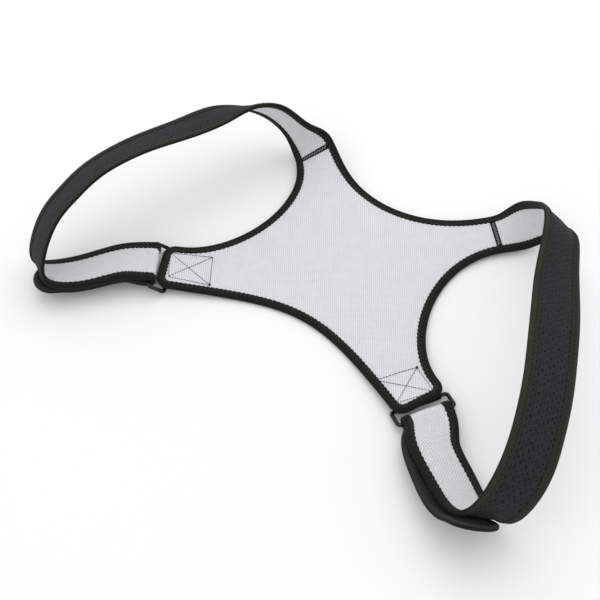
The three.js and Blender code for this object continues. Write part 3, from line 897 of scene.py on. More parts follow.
    def swell(self, plan: Array, edge: Array) -> Array:
        """How far the lining stands proud: nothing at the binding and full well inside it, times
        one plus the product of two slow sines of x and y plus a slanted third.

        Args:
            plan: Places in plan.
            edge: Points of the cloth's edge.

        Returns:
            Heights.
        """
        ways = plan.reshape(-1, 1, 2) - edge[None, ::3]
        gap = np.min(np.linalg.norm(ways, axis=-1), axis=1).reshape(plan.shape[:-1])
        crossed = np.sin(plan / self.crossed_lengths + self.crossed_phases)
        waves = 1 + self.crossed_wave * crossed[..., 0] * crossed[..., 1]
        slanted = (plan[..., 0] + 2 * plan[..., 1]) / self.slanted_length
        waves = waves + self.slanted_wave * np.sin(slanted)
        full = smoothstep(gap, CUT.tape_width - CUT.edge_inset, self.full_at)
        return self.fullness * full * waves


# Bound edges


@dataclass(frozen=True)
class Binding:
    """A folded tape over an edge of cloth, drawn into scallops by the zigzag that holds it."""

    stitch: float = 4.6
    scallop: float = 1.0
    scallop_base: float = 0.75
    thread_radius: float = 0.32
    zig_from: float = 4.0
    zig_short: float = 0.5  # how far the zigzag stays short of the tape's edge
    dip: float = 0.75  # how far the thread goes down where it enters the cloth
    dip_from: float = 0.8  # share of a leg past which it goes down
    wall: float = 0.1
    seat: float = 0.02  # room between the tape's inner faces and the cloth
    step: float = 0.72
    # Distance in from the fold and height of the outer face, from the tape's edge to the fold
    outer: tuple = (
        *((8.9, 1.42), (8.7, 1.9), (8.1, 2.22), (7.0, 2.34), (5.6, 2.22)),
        *((4.2, 2.3), (2.6, 2.35), (1.5, 2.2), (0.7, 1.75), (0.2, 1.05)),
    )

    def profile(self, run: Array) -> tuple[Array, Array]:
        """The section's ring at each place along the edge: outer face down to the fold and back
        along the lower face, then the inner faces. The inner edge moves by the size of a sine.

        Args:
            run: Distance along the edge at each section.

        Returns:
            Distances in from the fold and up from the cloth's middle, sections by ring points.
        """
        upper = np.array(self.outer)
        face = np.concatenate([upper, [[0, 0]], upper[::-1] * (1, -1)])
        inner = np.column_stack(
            [
                np.maximum(face[:, 0] - self.wall, CUT.edge_inset + self.wall),
                np.clip(face[:, 1], -CUT.sheet / 2 - self.seat, CUT.sheet / 2 + self.seat),
            ]
        )
        ring = np.concatenate([face, inner[::-1]])
        bulge = np.abs(np.sin(np.pi * run / self.stitch)) - self.scallop_base
        pull = smoothstep(ring[:, 0], self.zig_from, CUT.tape_width)
        inward = ring[:, 0] + self.scallop * bulge[:, None] * pull
        return inward, np.repeat(ring[None, :, 1], len(run), 0)

    def zigzag(self, run: Array, per_leg: int = 5) -> tuple[Array, Array, Array]:
        """The thread's path: legs out and back between the tape's middle and its edge.

        Args:
            run: Distance along the edge at each section.
            per_leg: Points on each leg.

        Returns:
            Place along the edge, distance in from the fold, and height over the cloth's middle.
        """
        legs = int(run[-1] / (self.stitch / 2))
        at = np.arange(legs * per_leg + 1) / per_leg
        share = np.abs((at + 1) % 2 - 1)
        inward = self.zig_from + (CUT.tape_width - self.zig_short - self.zig_from) * share
        height = CUT.mid - self.seat - self.dip * smoothstep(share, self.dip_from)
        return at * self.stitch / 2, inward, height

    def tape(self, run: Array, lay: Surface) -> Shell:
        """The tape as a body along its edge.

        Args:
            run: Distance along the edge at each section.
            lay: Gives points by distance in from the fold and height over the cloth's middle.

        Returns:
            The shell, with its place across and along the tape as its UV map.
        """
        inward, height = self.profile(run)
        uv = np.stack([inward + height, np.repeat(run[:, None], inward.shape[1], 1)], -1)
        return loft(lay(inward, height), uv)

    def threads(self, lay: Surface, inward: Array, height: Array, sink: float = 0.0) -> Shell:
        """The zigzag on the upper face and the one on the lower face.

        Args:
            lay: Gives points by distance in from the fold and height over the cloth's middle.
            inward: Distances in from the fold along the thread.
            height: Heights over the cloth's middle.
            sink: How much deeper the thread on the lower face lies.

        Returns:
            Both threads as one shell.
        """
        found = []
        for face, lower in ((1, 0.0), (-1, sink)):
            up = lay(inward, face * (height + 1)) - lay(inward, face * height)
            found.append(tube(lay(inward, face * (height - lower)), up, self.thread_radius))
        return joined(found)


# Sub-assemblies


@dataclass
class BackPanel:
    """The padded X-shaped panel, its two bindings, and the sewn boxes over the ring keepers."""

    shape: PanelShape
    binding: Binding
    finishes: Finishes
    edge_step: float = 3.0
    rings: int = 62
    crowding: float = 0.9  # below one, the rings of points stand closer near the edge
    under_sink: float = 0.25  # how much deeper the zigzag under the panel lies
    thread: float = 0.27
    stitch: float = 3.2
    stitch_points: int = 7
    hidden: float = 0.06  # share of a stitch that is in the cloth at either end
    arch: float = 0.4
    arch_sink: float = 0.12
    knot: float = 1.15
    knot_reach: float = 1.1
    knot_lift: float = 0.5  # height of the knot's middle, in its radii
    knot_points: int = 9
    knot_sides: int = 8
    knot_corners: dict = field(default_factory=lambda: {Side.LEFT: 2, Side.RIGHT: 1})
    boxes: dict = field(
        default_factory=lambda: {
            Side.LEFT: ((7.7, 17.5), (51.6, 19.5), (54.8, -17.2), (11.6, -13.6)),
            Side.RIGHT: ((47.7, -22.8), (39.2, 18.6), (6.6, 15.9), (13.8, -20.9)),
        }
    )

    def cloth(self) -> Object:
        """Builds the padded cloth: rings of points from the centre out to the edge, on both faces.

        Returns:
            The cloth.
        """
        edge = self.shape.outline(self.edge_step)
        centre = np.array([0.0, self.shape.centre_y])
        shares = np.linspace(0, 1, self.rings + 1)[1:] ** self.crowding
        plan = centre + (edge - centre)[:, None] * shares[None, :, None]
        reach = np.linalg.norm(edge - centre, axis=1)
        strip = 1 - (CUT.tape_width - CUT.tape) / reach
        rim = smoothstep(shares[None] / strip[:, None], self.shape.rim_start, 1)
        middle, normal = self.shape.surface(plan, rim)
        high = CUT.sheet / 2 + self.shape.swell(plan, edge)
        top = middle + normal * high[..., None]
        low = middle - normal * CUT.sheet / 2
        sections = np.concatenate([top, low[:, ::-1]], axis=1)
        count, ring = sections.shape[:2]
        pole, pole_normal = self.shape.surface(centre[None], 0.0)
        rise = CUT.sheet / 2 + self.shape.swell(centre[None], edge)[0]
        poles = [pole + pole_normal * rise, pole - pole_normal * CUT.sheet / 2]
        points = np.concatenate([sections.reshape(-1, 3), *poles])
        quads = grid(count, ring, round_rows=True)
        first = np.arange(count) * ring
        after = np.roll(first, -1)
        fans = [
            np.column_stack([0 * first + count * ring, after, first]),
            np.column_stack([0 * first + count * ring + 1, first + ring - 1, after + ring - 1]),
        ]
        under = np.tile(np.arange(ring - 1) >= self.rings - 1, count)
        dress = [under, np.zeros(count), np.ones(count)]
        shell = Shell(points, [quads, *fans], points[:, :2], dress)
        cloths = [self.finishes.panel_lining, self.finishes.panel_back]
        made = shell.to_object("panel_cloth", cloths)
        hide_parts("back_panel")
        return made

    def flat_sizes(self) -> tuple[tuple[float, float], float]:
        """The flat cut, whose area is half the sum of the cross products of its edge's points.

        Returns:
            Its bounding width and length, and its area, in metres.
        """
        edge = self.shape.outline(self.edge_step)
        after = np.roll(edge, -1, axis=0)
        area = abs(float((edge[:, 0] * after[:, 1] - edge[:, 1] * after[:, 0]).sum())) / 2
        width, length = np.ptp(edge, axis=0) * MM
        return (float(width), float(length)), area * MM * MM

    def on_edge(self, edge: Edge, inward: Array, height: Array) -> Array:
        """Points near an edge of the panel.

        Args:
            edge: The edge's stations.
            inward: Distances in from it, by station first.
            height: Heights over the cloth's middle.

        Returns:
            Points in the frame.
        """
        shape = (-1,) + (1,) * (inward.ndim - 1) + (2,)
        plan = edge.plan.reshape(shape) + edge.inward.reshape(shape) * inward[..., None]
        point, normal = self.shape.surface(plan)
        return point + normal * height[..., None]

    def bound(self, edge: Edge, node: str) -> None:
        """Builds the tape over one edge and its zigzag thread.

        Args:
            edge: The edge's stations.
            node: The CAD node that the tape stands for.
        """
        shell = self.binding.tape(edge.run, partial(self.on_edge, edge))
        tape = shell.to_object(node + "_tape", [self.finishes.tape])
        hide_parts(node)
        at, inward, height = self.binding.zigzag(edge.run)
        lay = partial(self.on_edge, edge.at(at))
        threads = self.binding.threads(lay, inward, height, self.under_sink)
        stitches = threads.to_object(node + "_stitches", [self.finishes.thread], SMOOTH)
        log.info("%s: tape and zigzag, %.0f mm", node, edge.run[-1])

    def box_stitches(self, side: Side) -> Object:
        """Builds one sewn box with its cross, as rows of short stitches that dip into the cloth.

        Args:
            side: The lower arm that it lies on.

        Returns:
            The thread.
        """
        edge = self.shape.outline(self.edge_step)
        out, over = (way * (side.value, 1) for way in (self.shape.lower_arm, self.shape.lower_side))
        tip = self.shape.tip * np.array((side.value, 1))
        a, b, c, d = corners = [tip - out * back + over * up for back, up in self.boxes[side]]

        def thread(plan: Array, lift: Array | float, radius: float, sides: int = 6) -> Shell:
            """A thread over the lining, along places in plan."""
            point, normal = self.shape.surface(plan)
            high = CUT.sheet / 2 + self.shape.swell(plan, edge) + lift
            return tube(point + normal * high[:, None], normal, radius, sides)

        threads = []
        arch = np.sin(np.linspace(0, np.pi, self.stitch_points)) * self.arch - self.arch_sink
        seen = np.linspace(self.hidden, 1 - self.hidden, self.stitch_points)
        for start, end in ((a, b), (b, c), (c, d), (d, a), (a, c), (b, d)):
            count = max(2, round(float(np.linalg.norm(end - start)) / self.stitch))
            for i in range(count):
                threads.append(thread(along(start, end, (i + seen) / count), arch, self.thread))
        knot = np.linspace(-self.knot_reach, self.knot_reach, self.knot_points)[:, None] * over
        plan = corners[self.knot_corners[side]] + knot
        threads.append(thread(plan, self.knot * self.knot_lift, self.knot, self.knot_sides))
        made = joined(threads).to_object(
            f"box_stitches_{side.word}", [self.finishes.sewing], SMOOTH
        )
        return made

    def build(self, table: Object) -> None:
        """Builds every piece of the panel.

        Args:
            table: The table that the cloth lies on; not used.
        """
        cloth = self.cloth()
        boxes = [self.box_stitches(side) for side in Side]
        flat, area = self.flat_sizes()
        self.bound(self.shape.neck(self.binding.step, CUT.clearance / 2), "neck_binding")
        self.bound(self.shape.lower(self.binding.step, CUT.clearance / 2), "lower_binding")
        log.info("back panel: cloth and two sewn boxes")


@dataclass(frozen=True)
class RingPlace:
    """Where a ring lies in the right half: its two bars, its way out and its slope."""

    out: Array
    held: Array
    free: Array
    slope: Array
    across: Array


@dataclass
class RingSet:
    """One ring, and the webbing keeper that holds it under the lower arm."""

    side: Side
    shape: PanelShape
    finishes: Finishes
    pitch: float
    turn: float
    bar: float = 2.0
    slot: float = 14.0
    side_room: float = 2.0
    corner: float = 3.5
    webbing: float = 1.2
    webbing_width: float = 44.0
    webbing_length: float = 42.0
    bar_inset: float = 7.0
    over_points: int = 16
    turn_points: int = 14
    back_points: int = 12
    selvedge: float = 0.45  # share of the thickness that is gone at the webbing's edges
    selvedge_power: float = 12

    @property
    def length(self) -> float:
        """Distance between the ring's two bars."""
        return self.slot + 2 * self.bar

    @property
    def wrap_radius(self) -> float:
        """Radius of the strap's middle round the bar."""
        return self.bar + CUT.clearance + CUT.mid

    @property
    def strap_shift(self) -> float:
        """How far the strap is pulled against the ring's corner."""
        return self.side_room - (self.corner - self.bar) - CUT.clearance

    def place(self) -> RingPlace:
        """Works out where the ring lies: its way out is the arm's, turned in plan and pitched up.

        Returns:
            The ring's place.
        """
        turn, pitch = np.radians(self.turn), np.radians(self.pitch)
        arm = self.shape.lower_arm
        cosine, sine = np.cos(turn), np.sin(turn)
        out = np.array([arm[0] * cosine + arm[1] * sine, arm[1] * cosine - arm[0] * sine, 0])
        height = self.webbing + CUT.clearance + self.bar
        held = np.append(self.shape.tip - arm * self.bar_inset, height)
        slope = out * np.cos(pitch) + UP * np.sin(pitch)
        across = np.array([out[1], -out[0], 0])
        return RingPlace(out, held, held + slope * self.length, slope, across)

    def ring(self, steps: int = 8, sides: int = 18) -> Object:
        """Builds the ring: a round bar along a rectangle with round corners.

        Args:
            steps: Facets of each corner.
            sides: Facets round the bar.

        Returns:
            The ring.
        """
        at = self.place()
        side, low = CUT.half + self.side_room + self.bar - self.corner, self.corner
        high = self.length - low
        turn = np.linspace(0, np.pi / 2, steps + 1)
        angle = (np.arange(4)[:, None] * np.pi / 2 - np.pi / 2 + turn).ravel()
        corners = [(side, low), (side, high), (-side, high), (-side, low)]
        middle = np.repeat(corners, steps + 1, axis=0)
        outward = np.column_stack([np.cos(angle), np.sin(angle)])
        line = middle + outward * self.corner
        axes = np.stack([at.across, at.slope])
        spoke = (np.arange(sides) + 0.5) * 2 * np.pi / sides
        up = np.cross(at.across, at.slope)
        sections = (
            (at.held + line @ axes)[:, None]
            + self.bar * np.cos(spoke)[None, :, None] * (outward @ axes)[:, None]
            + self.bar * np.sin(spoke)[None, :, None] * up
        )
        made = loft(self.side.place(sections), closed=True).to_object(
            f"strap_ring_{self.side.word}", [self.finishes.plastic], SMOOTH
        )
        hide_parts(f"ring_{self.side.word}")
        return made

    def keeper(self, columns: int = 25) -> Object:
        """Builds the keeper: webbing from under the arm round the held bar, then along the table.

        Args:
            columns: Points across each face.

        Returns:
            The keeper, with selvedges thinner than its middle.
        """
        at = self.place()
        wrap = self.bar + CUT.clearance + self.webbing / 2
        foot = at.held * (1, 1, 0)
        skew = self.webbing_width / 2 * np.sin(np.radians(self.turn))
        run = self.webbing_length - self.bar_inset
        inset = np.linspace(run, run / self.over_points, self.over_points)
        bend = (1 - (inset + skew + self.bar_inset) / self.shape.lower_bend) ** 2
        height = self.shape.lower_rise * bend - CUT.clearance - self.webbing / 2
        over = foot - at.out * inset[:, None] + UP * height[:, None]
        angle = np.linspace(0, np.pi, self.turn_points)[:, None]
        spoke = UP * np.cos(angle) + at.out * np.sin(angle)
        inset = np.linspace(run / self.back_points, run, self.back_points)
        back = foot - at.out * inset[:, None] + UP * self.webbing / 2
        middle = np.concatenate([over, at.held + spoke * wrap, back])
        above, below = np.repeat([UP], len(over), 0), np.repeat([-UP], len(back), 0)
        normal = np.concatenate([above, spoke, below])
        share = np.linspace(-1, 1, columns)
        thick = self.webbing / 2 * (1 - self.selvedge * np.abs(share) ** self.selvedge_power)
        across = middle[:, None] + at.across * share[None, :, None] * self.webbing_width / 2
        lift = normal[:, None] * thick[None, :, None]
        along_it = np.concatenate([[0], np.cumsum(np.linalg.norm(np.diff(middle, axis=0), axis=1))])
        uv = np.stack(np.meshgrid(share * self.webbing_width / 2, along_it), -1)
        made = ply(self.side.place(across), self.side.place(lift), uv).to_object(
            f"keeper_webbing_{self.side.word}", [self.finishes.webbing]
        )
        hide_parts(f"ring_keeper_{self.side.word}")
        f"ring_{self.side.word}"
        return made

    def build(self) -> None:
        """Builds the ring and its keeper."""
        self.ring()
        self.keeper()
        log.info("ring and keeper, %s", self.side.word)


class Spline:
    """A smooth curve through rows of numbers: cubics whose second slopes agree where they meet."""

    def __init__(self, at: Array, rows: Array, start: Array, end: Array) -> None:
        """Solves the three-term equations for the second slopes.

        Args:
            at: Share of the run at each row, rising.
            rows: The rows.
            start: First slope at the first row.
            end: First slope at the last row.
        """
        gap = np.diff(at)
        slope = np.diff(rows, axis=0) / gap[:, None]
        last = len(at) - 1
        table = np.diag(2 * np.concatenate([gap, [0]]) + 2 * np.concatenate([[0], gap]))
        table += np.diag(gap, 1) + np.diag(gap, -1)
        change = np.concatenate([[slope[0] - start], np.diff(slope, axis=0), [end - slope[-1]]])
        self.at, self.rows, self.gap, self.last = at, rows, gap, last
        self.bend = np.linalg.solve(table, 6 * change)

    def __call__(self, share: Array) -> Array:
        """The curve: a straight line between two rows, and their second slopes by cubic weights.

        Args:
            share: Shares of the run.

        Returns:
            A row for each share.
        """
        i = np.searchsorted(self.at[1 : self.last], share)
        width = self.gap[i][..., None]
        a = (self.at[i + 1] - share)[..., None] / width
        b = 1 - a
        bend = (a**3 - a) * self.bend[i] + (b**3 - b) * self.bend[i + 1]
        return a * self.rows[i] + b * self.rows[i + 1] + bend * width**2 / 6


@dataclass
class ShoulderStrap:
    """One strap: out from its seam in a loop, through the ring, and back along its outer side."""

    side: Side
    shape: PanelShape
    rings: RingSet
    binding: Binding
    finishes: Finishes
    rows: tuple
    tail_share: float
    tail_shift: float
    reach: float = 130.0
    drop: float = 135.0
    height: float = 80.0
    tab_round: float = 20.0
    tab_points: int = 16
    tab_end: float = 0.98  # share of the quarter turn at which the cloth's round end stops
    tail_free: float = 30.0
    tail_gap: float = 0.9
    square_at: float = 0.08
    share_step: float = 0.001
    tail_aside: float = 0.6  # share of the tail in which it moves aside
    tail_closed: float = 0.3  # share of the tail in which it closes up to a ply
    fullness: float = 0.45
    ripple: float = 0.5  # share of the fullness that comes and goes along the strap
    ripple_length: float = 13
    ripple_sway: float = 1.3
    ripple_width: float = 9
    painted_shade_share: float = 0.55  # share of the turn round the bar past which the lining face takes the dark brushed cloth, as painted shade
    step: float = 1.6
    band_fade: float = 1.2  # how far short of the bindings the band's dome starts to sink
    band_stop: float = 0.2  # how far short of them it is flat
    thread_stop: float = 1.0
    cord_at: float = 2.5
    cord_radius: float = 0.5
    cord_sink: float = 0.1
    zig_period: float = 3.4
    zig_reach: float = 1.5
    zig_radius: float = 0.36
    zig_lift: float = 0.12

    def across_seam(self, past: Array, shift: Array) -> Array:
        """Points of the upper arm near its seam.

        Args:
            past: Distance past the seam.
            shift: Distance across, towards the panel.

        Returns:
            Points in the right half.
        """
        past, shift = np.broadcast_arrays(past, shift)
        plan = self.shape.seam + self.shape.upper_arm * past[..., None]
        plan = plan - self.shape.upper_side * shift[..., None]
        return self.side.place(self.shape.lay(plan * (self.side.value, 1), self.side))

    def __post_init__(self) -> None:
        """Works out the run's middle line and the turning of its width."""
        start = self.across_seam(0.0, 0.0)
        width = unit(self.across_seam(0.0, STEP) - start)
        way = unit(start - self.across_seam(-STEP, 0.0))
        self.ring_place = self.rings.place()
        out, across = self.ring_place.out, self.ring_place.across
        self.bar = self.ring_place.free - across * self.rings.strap_shift
        end = self.bar + UP * self.rings.wrap_radius
        rows = np.array(self.rows, float)
        sizes = np.array([self.reach, -self.drop, self.height])
        points = np.vstack([start, along(start, end, rows[:, 0]) + rows[:, 1:4] * sizes, end])
        at = np.concatenate([[0], rows[:, 0], [1]])
        self.length = float(np.linalg.norm(np.diff(points, axis=0), axis=1).sum())
        self.middle = Spline(at, points, way * self.length, -out * self.length)
        bearings = np.degrees(np.arctan2([-width[1], -across[1]], [-width[0], -across[0]]))
        first = (bearings[0], np.degrees(np.arcsin(width[2])))
        angles = np.vstack([first, rows[:, 4:], (bearings[1], 0)])
        tilt = self.shape.arms[self.side].tilt
        twist = 2 * self.shape.twist_power * tilt * self.length / self.shape.upper_bend
        self.turning = Spline(at, angles, np.array([0, twist]), np.zeros(2))
        self.wrap_end = self.length + np.pi * self.rings.wrap_radius
        self.tail = self.tail_share * self.length
        self.tab_start = self.wrap_end + self.tail - self.tab_round

    def run(self, distance: Array, shift: Array) -> Array:
        """The strap from seam to ring. Its width points by bearing and tilt, and past the first
        part of the run it is square to the way along.

        Args:
            distance: Distance along the run.
            shift: Distance across it, towards the panel.

        Returns:
            Points in the right half.
        """
        share = distance / self.length
        way = unit(self.middle(share + self.share_step) - self.middle(share - self.share_step))
        bearing, tilt = np.moveaxis(np.radians(self.turning(share)), -1, 0)
        flat = np.cos(tilt)
        width = np.stack([-np.cos(bearing) * flat, -np.sin(bearing) * flat, np.sin(tilt)], -1)
        lean = (width * way).sum(-1) * smoothstep(share, 0, self.square_at)
        width = unit(width - way * lean[..., None])
        return self.middle(share) + width * shift[..., None]

    def frames(self, surface: Surface, distance: Array, shift: Array) -> tuple[Array, Array, Array]:
        """A surface with its directions, by differences to both sides.

        Args:
            surface: Gives points by distance along and shift across.
            distance: Distances along it.
            shift: Distances across it.

        Returns:
            Its points, its way across and the lining's normal.
        """
        way = surface(distance + STEP, shift) - surface(distance - STEP, shift)
        across = unit(surface(distance, shift + STEP) - surface(distance, shift - STEP))
        return surface(distance, shift), across, unit(np.cross(way, across))

    def held_tail(self, past: Array, shift: Array) -> Array:
        """The tail against the run's outer side. It closes up from two wrap radii to a ply.

        Args:
            past: Distance from the ring along the tail.
            shift: Distance across it.

        Returns:
            Points in the right half.
        """
        share = past / self.tail
        moved = self.tail_shift * smoothstep(share, 0, self.tail_aside)
        point, width, normal = self.frames(self.run, self.length - past, moved)
        closed = 2 * CUT.mid + self.tail_gap
        open_share = 1 - smoothstep(share, 0, self.tail_closed)
        fall = closed + (2 * self.rings.wrap_radius - closed) * open_share
        return point + width * shift[..., None] - normal * fall[..., None]

    def surface(self, distance: Array, shift: Array) -> Array:
        """The whole strap: the run, half a turn round the bar, and the tail, whose end is straight.

        Args:
            distance: Distance from the seam along the strap.
            shift: Distance across it.

        Returns:
            Points in the right half.
        """
        distance, shift = np.broadcast_arrays(distance, shift)
        free = self.tail - self.tail_free
        past = distance - self.wrap_end
        ends = np.array([free, free + STEP, free - STEP, free])
        leave, after, before, beside = self.held_tail(ends, np.array([0, 0, 0, STEP]))
        tail = self.held_tail(np.clip(past, 0, free), shift)
        straight = leave + unit(after - before) * (past - free)[..., None]
        straight = straight + unit(beside - leave) * shift[..., None]
        angle = ((distance - self.length) / self.rings.wrap_radius)[..., None]
        spoke = UP * np.cos(angle) - self.ring_place.out * np.sin(angle)
        wrap = self.bar + spoke * self.rings.wrap_radius + self.ring_place.across * shift[..., None]
        run = self.run(np.minimum(distance, self.length), shift)
        found = np.where((past <= free)[..., None], tail, straight)
        found = np.where((distance < self.wrap_end)[..., None], wrap, found)
        return np.where((distance <= self.length)[..., None], run, found)

    def lengths(self, start: float, step: float) -> Array:
        """Distances from a start to the tail's round end, about a step apart."""
        return np.linspace(start, self.tab_start, round((self.tab_start - start) / step) + 1)

    def cloth(self, columns: int = 15) -> Object:
        """Builds the strap's cloth. It is fuller in its middle, by one less the square of the share
        of the half width, with slow sines along it, and narrows by a cosine round the tail's end.

        Args:
            columns: Points across each face.

        Returns:
            The cloth, lining on one face and brushed cloth on the other, but past part of the turn
            round the bar the lining face takes brushed cloth too, as painted shade.
        """
        straight = self.lengths(CUT.band_width / 2 + CUT.clearance, self.step)
        angle = np.linspace(0, np.pi / 2 * self.tab_end, self.tab_points)[1:]
        bow = self.tab_start + (self.tab_round - CUT.edge_inset) * np.sin(angle)
        distance = np.concatenate([straight, bow])[:, None]
        narrow = np.concatenate([np.ones(len(straight)), np.cos(angle)])[:, None]
        share = np.linspace(1, -1, columns)[None]
        shift = (CUT.half - CUT.edge_inset) * share * narrow
        distance = np.repeat(distance, columns, 1)
        point, _, normal = self.frames(self.surface, distance, shift)
        crown = self.fullness * np.maximum(0, 1 - (shift / CUT.open_half) ** 2) * narrow**2
        sway = self.ripple_sway * np.sin(shift / self.ripple_width)
        crown *= 1 + self.ripple * np.sin(distance / self.ripple_length + sway)
        lift = normal * (CUT.sheet / 2 + crown)[..., None]
        uv = np.stack([shift, distance], -1)
        shell = ply(self.side.place(point), self.side.place(lift), uv)
        # Painted shade: past this point of the turn round the bar, the turn's underside and the
        # whole tail get the dark brushed cloth on the lining face too.
        painted_shade_from = self.length + (self.wrap_end - self.length) * self.painted_shade_share
        turned = distance[:-1, :1] > painted_shade_from
        outer = ((np.arange(2 * columns) >= columns - 1)[None] | turned).ravel()
        shell.dress = [np.concatenate([outer, np.ones(len(shell.faces[0]) - len(outer))])]
        made = shell.to_object(
            f"strap_cloth_{self.side.word}", [self.finishes.strap_lining, self.finishes.strap_cloth]
        )
        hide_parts(f"shoulder_strap_{self.side.word}")
        return made

    def rim(self, step: float) -> tuple[Array, Array, Array]:
        """The way of the binding: along the panel-side edge, round the tail's end and back.

        Args:
            step: Distance between its sections.

        Returns:
            Distance along the strap, the rim's angle, and the run along the rim.
        """
        side = self.lengths(CUT.clearance / 2, step)
        mean_radius = (CUT.half + self.tab_round) / 2
        angle = np.linspace(0, np.pi, round(np.pi * mean_radius / step) + 1)[1:-1]
        end = self.tab_start + self.tab_round * np.sin(angle)
        distance = np.concatenate([side, end, side[::-1]])
        angle = np.concatenate([0 * side, angle, 0 * side + np.pi])
        steps = np.hypot(np.diff(distance), CUT.half * np.diff(np.cos(angle)))
        return distance, angle, np.concatenate([[0], np.cumsum(steps)])

    def on_rim(self, distance: Array, angle: Array, inward: Array, height: Array) -> Array:
        """Points near the rim, whose way in is the normal of its end's ellipse.

        Args:
            distance: Distance along the strap at each place of the rim.
            angle: The rim's angle there.
            inward: Distances in from the rim, by place first.
            height: Heights over the cloth's middle.

        Returns:
            Points on the strap's own side.
        """
        if inward.ndim > 1:
            distance, angle = distance[:, None], angle[:, None]
        lean = unit(np.stack([-np.sin(angle) / self.tab_round, -np.cos(angle) / CUT.half], -1))
        shift = CUT.half * np.cos(angle) + lean[..., 1] * inward
        point, _, normal = self.frames(self.surface, distance + lean[..., 0] * inward, shift)
        return self.side.place(point + normal * height[..., None])

    def bound(self) -> None:
        """Builds the tape round the strap, its outer face lighter, and its zigzag on both faces."""
        distance, angle, run = self.rim(self.binding.step)
        shell = self.binding.tape(run, partial(self.on_rim, distance, angle))
        outer = np.tile(self.binding.profile(run[:1])[1][0] < 0, len(run) - 1)
        shell.dress = [np.concatenate([outer, np.zeros(len(shell.faces[0]) - len(outer))])]
        tape = shell.to_object(
            f"strap_tape_{self.side.word}", [self.finishes.tape, self.finishes.tape_outer]
        )
        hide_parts(f"strap_binding_{self.side.word}")
        at, inward, height = self.binding.zigzag(run)
        lay = partial(self.on_rim, np.interp(at, run, distance), np.interp(at, run, angle))
        both = self.binding.threads(lay, inward, height)
        both.dress = [np.full(len(faces), face) for face, faces in enumerate(both.faces)]
        threads = [self.finishes.thread, self.finishes.sewing]
        stitches = both.to_object(f"strap_stitches_{self.side.word}", threads, SMOOTH)
        under = [f"shoulder_strap_{self.side.word}"]
        log.info("strap tape and zigzag, %s: %.0f mm", self.side.word, run[-1])

    def seam_surface(self, past: Array, shift: Array) -> Array:
        """The cloth across the seam: the upper arm before it and the strap after it.

        Args:
            past: Distance past the seam.
            shift: Distance across, towards the panel.

        Returns:
            Points in the right half.
        """
        past, shift = np.broadcast_arrays(past, shift)
        before, after = self.across_seam(past, shift), self.surface(np.maximum(past, 0), shift)
        return np.where((past <= 0)[..., None], before, after)

    def seam_band(
        self, rows: int = 60, columns: int = 9, thread_points: int = 240
    ) -> list[Object]:
        """Builds the overlocked band across the seam: a low dome, cords at its edges and a zigzag.

        Args:
            rows: Sections along the seam.
            columns: Points across each face.
            thread_points: Points along each thread.

        Returns:
            The band, its black threads and its grey zigzag.
        """
        end = CUT.half - CUT.edge_inset
        shift = np.repeat(np.linspace(end, -end, rows)[:, None], columns, 1)
        share = np.linspace(-1, 1, columns)[None]
        past = np.repeat(share * CUT.band_width / 2, rows, 0)
        fade, stop = CUT.open_half - self.band_fade, CUT.open_half - self.band_stop
        open_part = 1 - smoothstep(np.abs(shift), fade, stop)
        high = CUT.sheet / 2 + CUT.band_ridge * open_part * (1 - np.abs(share) ** 5)
        point, _, normal = self.frames(self.seam_surface, past, shift)
        lift = self.side.place(normal * high[..., None])
        band = ply(self.side.place(point), lift, np.stack([past, shift], -1)).to_object(
            f"overlock_band_{self.side.word}", [self.finishes.tape]
        )
        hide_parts(f"seam_band_{self.side.word}")
        reach, top = CUT.open_half - self.thread_stop, CUT.sheet / 2 + CUT.band_ridge
        at = np.linspace(-reach, reach, thread_points)
        zig = 2 / np.pi * np.arcsin(np.sin(2 * np.pi * at / self.zig_period)) * self.zig_reach
        cord = (self.cord_radius, top - self.cord_sink)
        ways = {
            "cords": [(-self.cord_at, *cord), (self.cord_at, *cord)],
            "zigzag": [(zig, self.zig_radius, top + self.zig_lift)],
        }
        made = [band]
        looks = {"cords": self.finishes.sewing, "zigzag": self.finishes.grey_thread}
        for word, finish in looks.items():
            threads = []
            for face in (1, -1):
                for place, radius, height in ways[word]:
                    spot, _, up = self.frames(self.seam_surface, place + 0 * at, at)
                    path = self.side.place(spot + up * face * height)
                    threads.append(tube(path, self.side.place(up * face), radius))
            piece = joined(threads).to_object(f"overlock_{word}_{self.side.word}", [finish], SMOOTH)
            made.append(piece)
        return made

    def build(self) -> None:
        """Builds every piece of the strap."""
        cloth = self.cloth()
        self.bound()
        band = self.seam_band()
        ring = f"ring_{self.side.word}"
        log.info("shoulder strap, %s: %.0f mm from seam to ring", self.side.word, self.length)


# One row per station of a loop: its share of the run, its way out, footward and up as shares of the
# strap's reach, drop and height, and the bearing and tilt of its width in degrees
RIGHT_LOOP = (
    (0.07, 0.16, -0.25, 0.17, -28, 30),
    (0.13, 0.33, -0.34, 0.5, 10, 44),
    (0.2, 0.47, -0.26, 0.81, 17, 41),
    (0.27, 0.56, -0.1, 0.86, 17, 36),
    (0.33, 0.64, 0.06, 0.89, 18, 26),
    (0.4, 0.73, 0.22, 0.96, 19, 21),
    (0.47, 0.82, 0.39, 0.99, 19, 22),
    (0.53, 0.9, 0.56, 1, 19, 25),
    (0.6, 0.96, 0.73, 0.93, 20, 28),
    (0.67, 0.98, 0.9, 0.75, 22, 31),
    (0.73, 0.9, 0.99, 0.41, 33, 36),
    (0.8, 0.69, 0.86, 0.14, 49, 28),
    (0.87, 0.44, 0.59, 0.06, 51, 19),
    (0.93, 0.19, 0.32, 0.05, 52, 13),
)
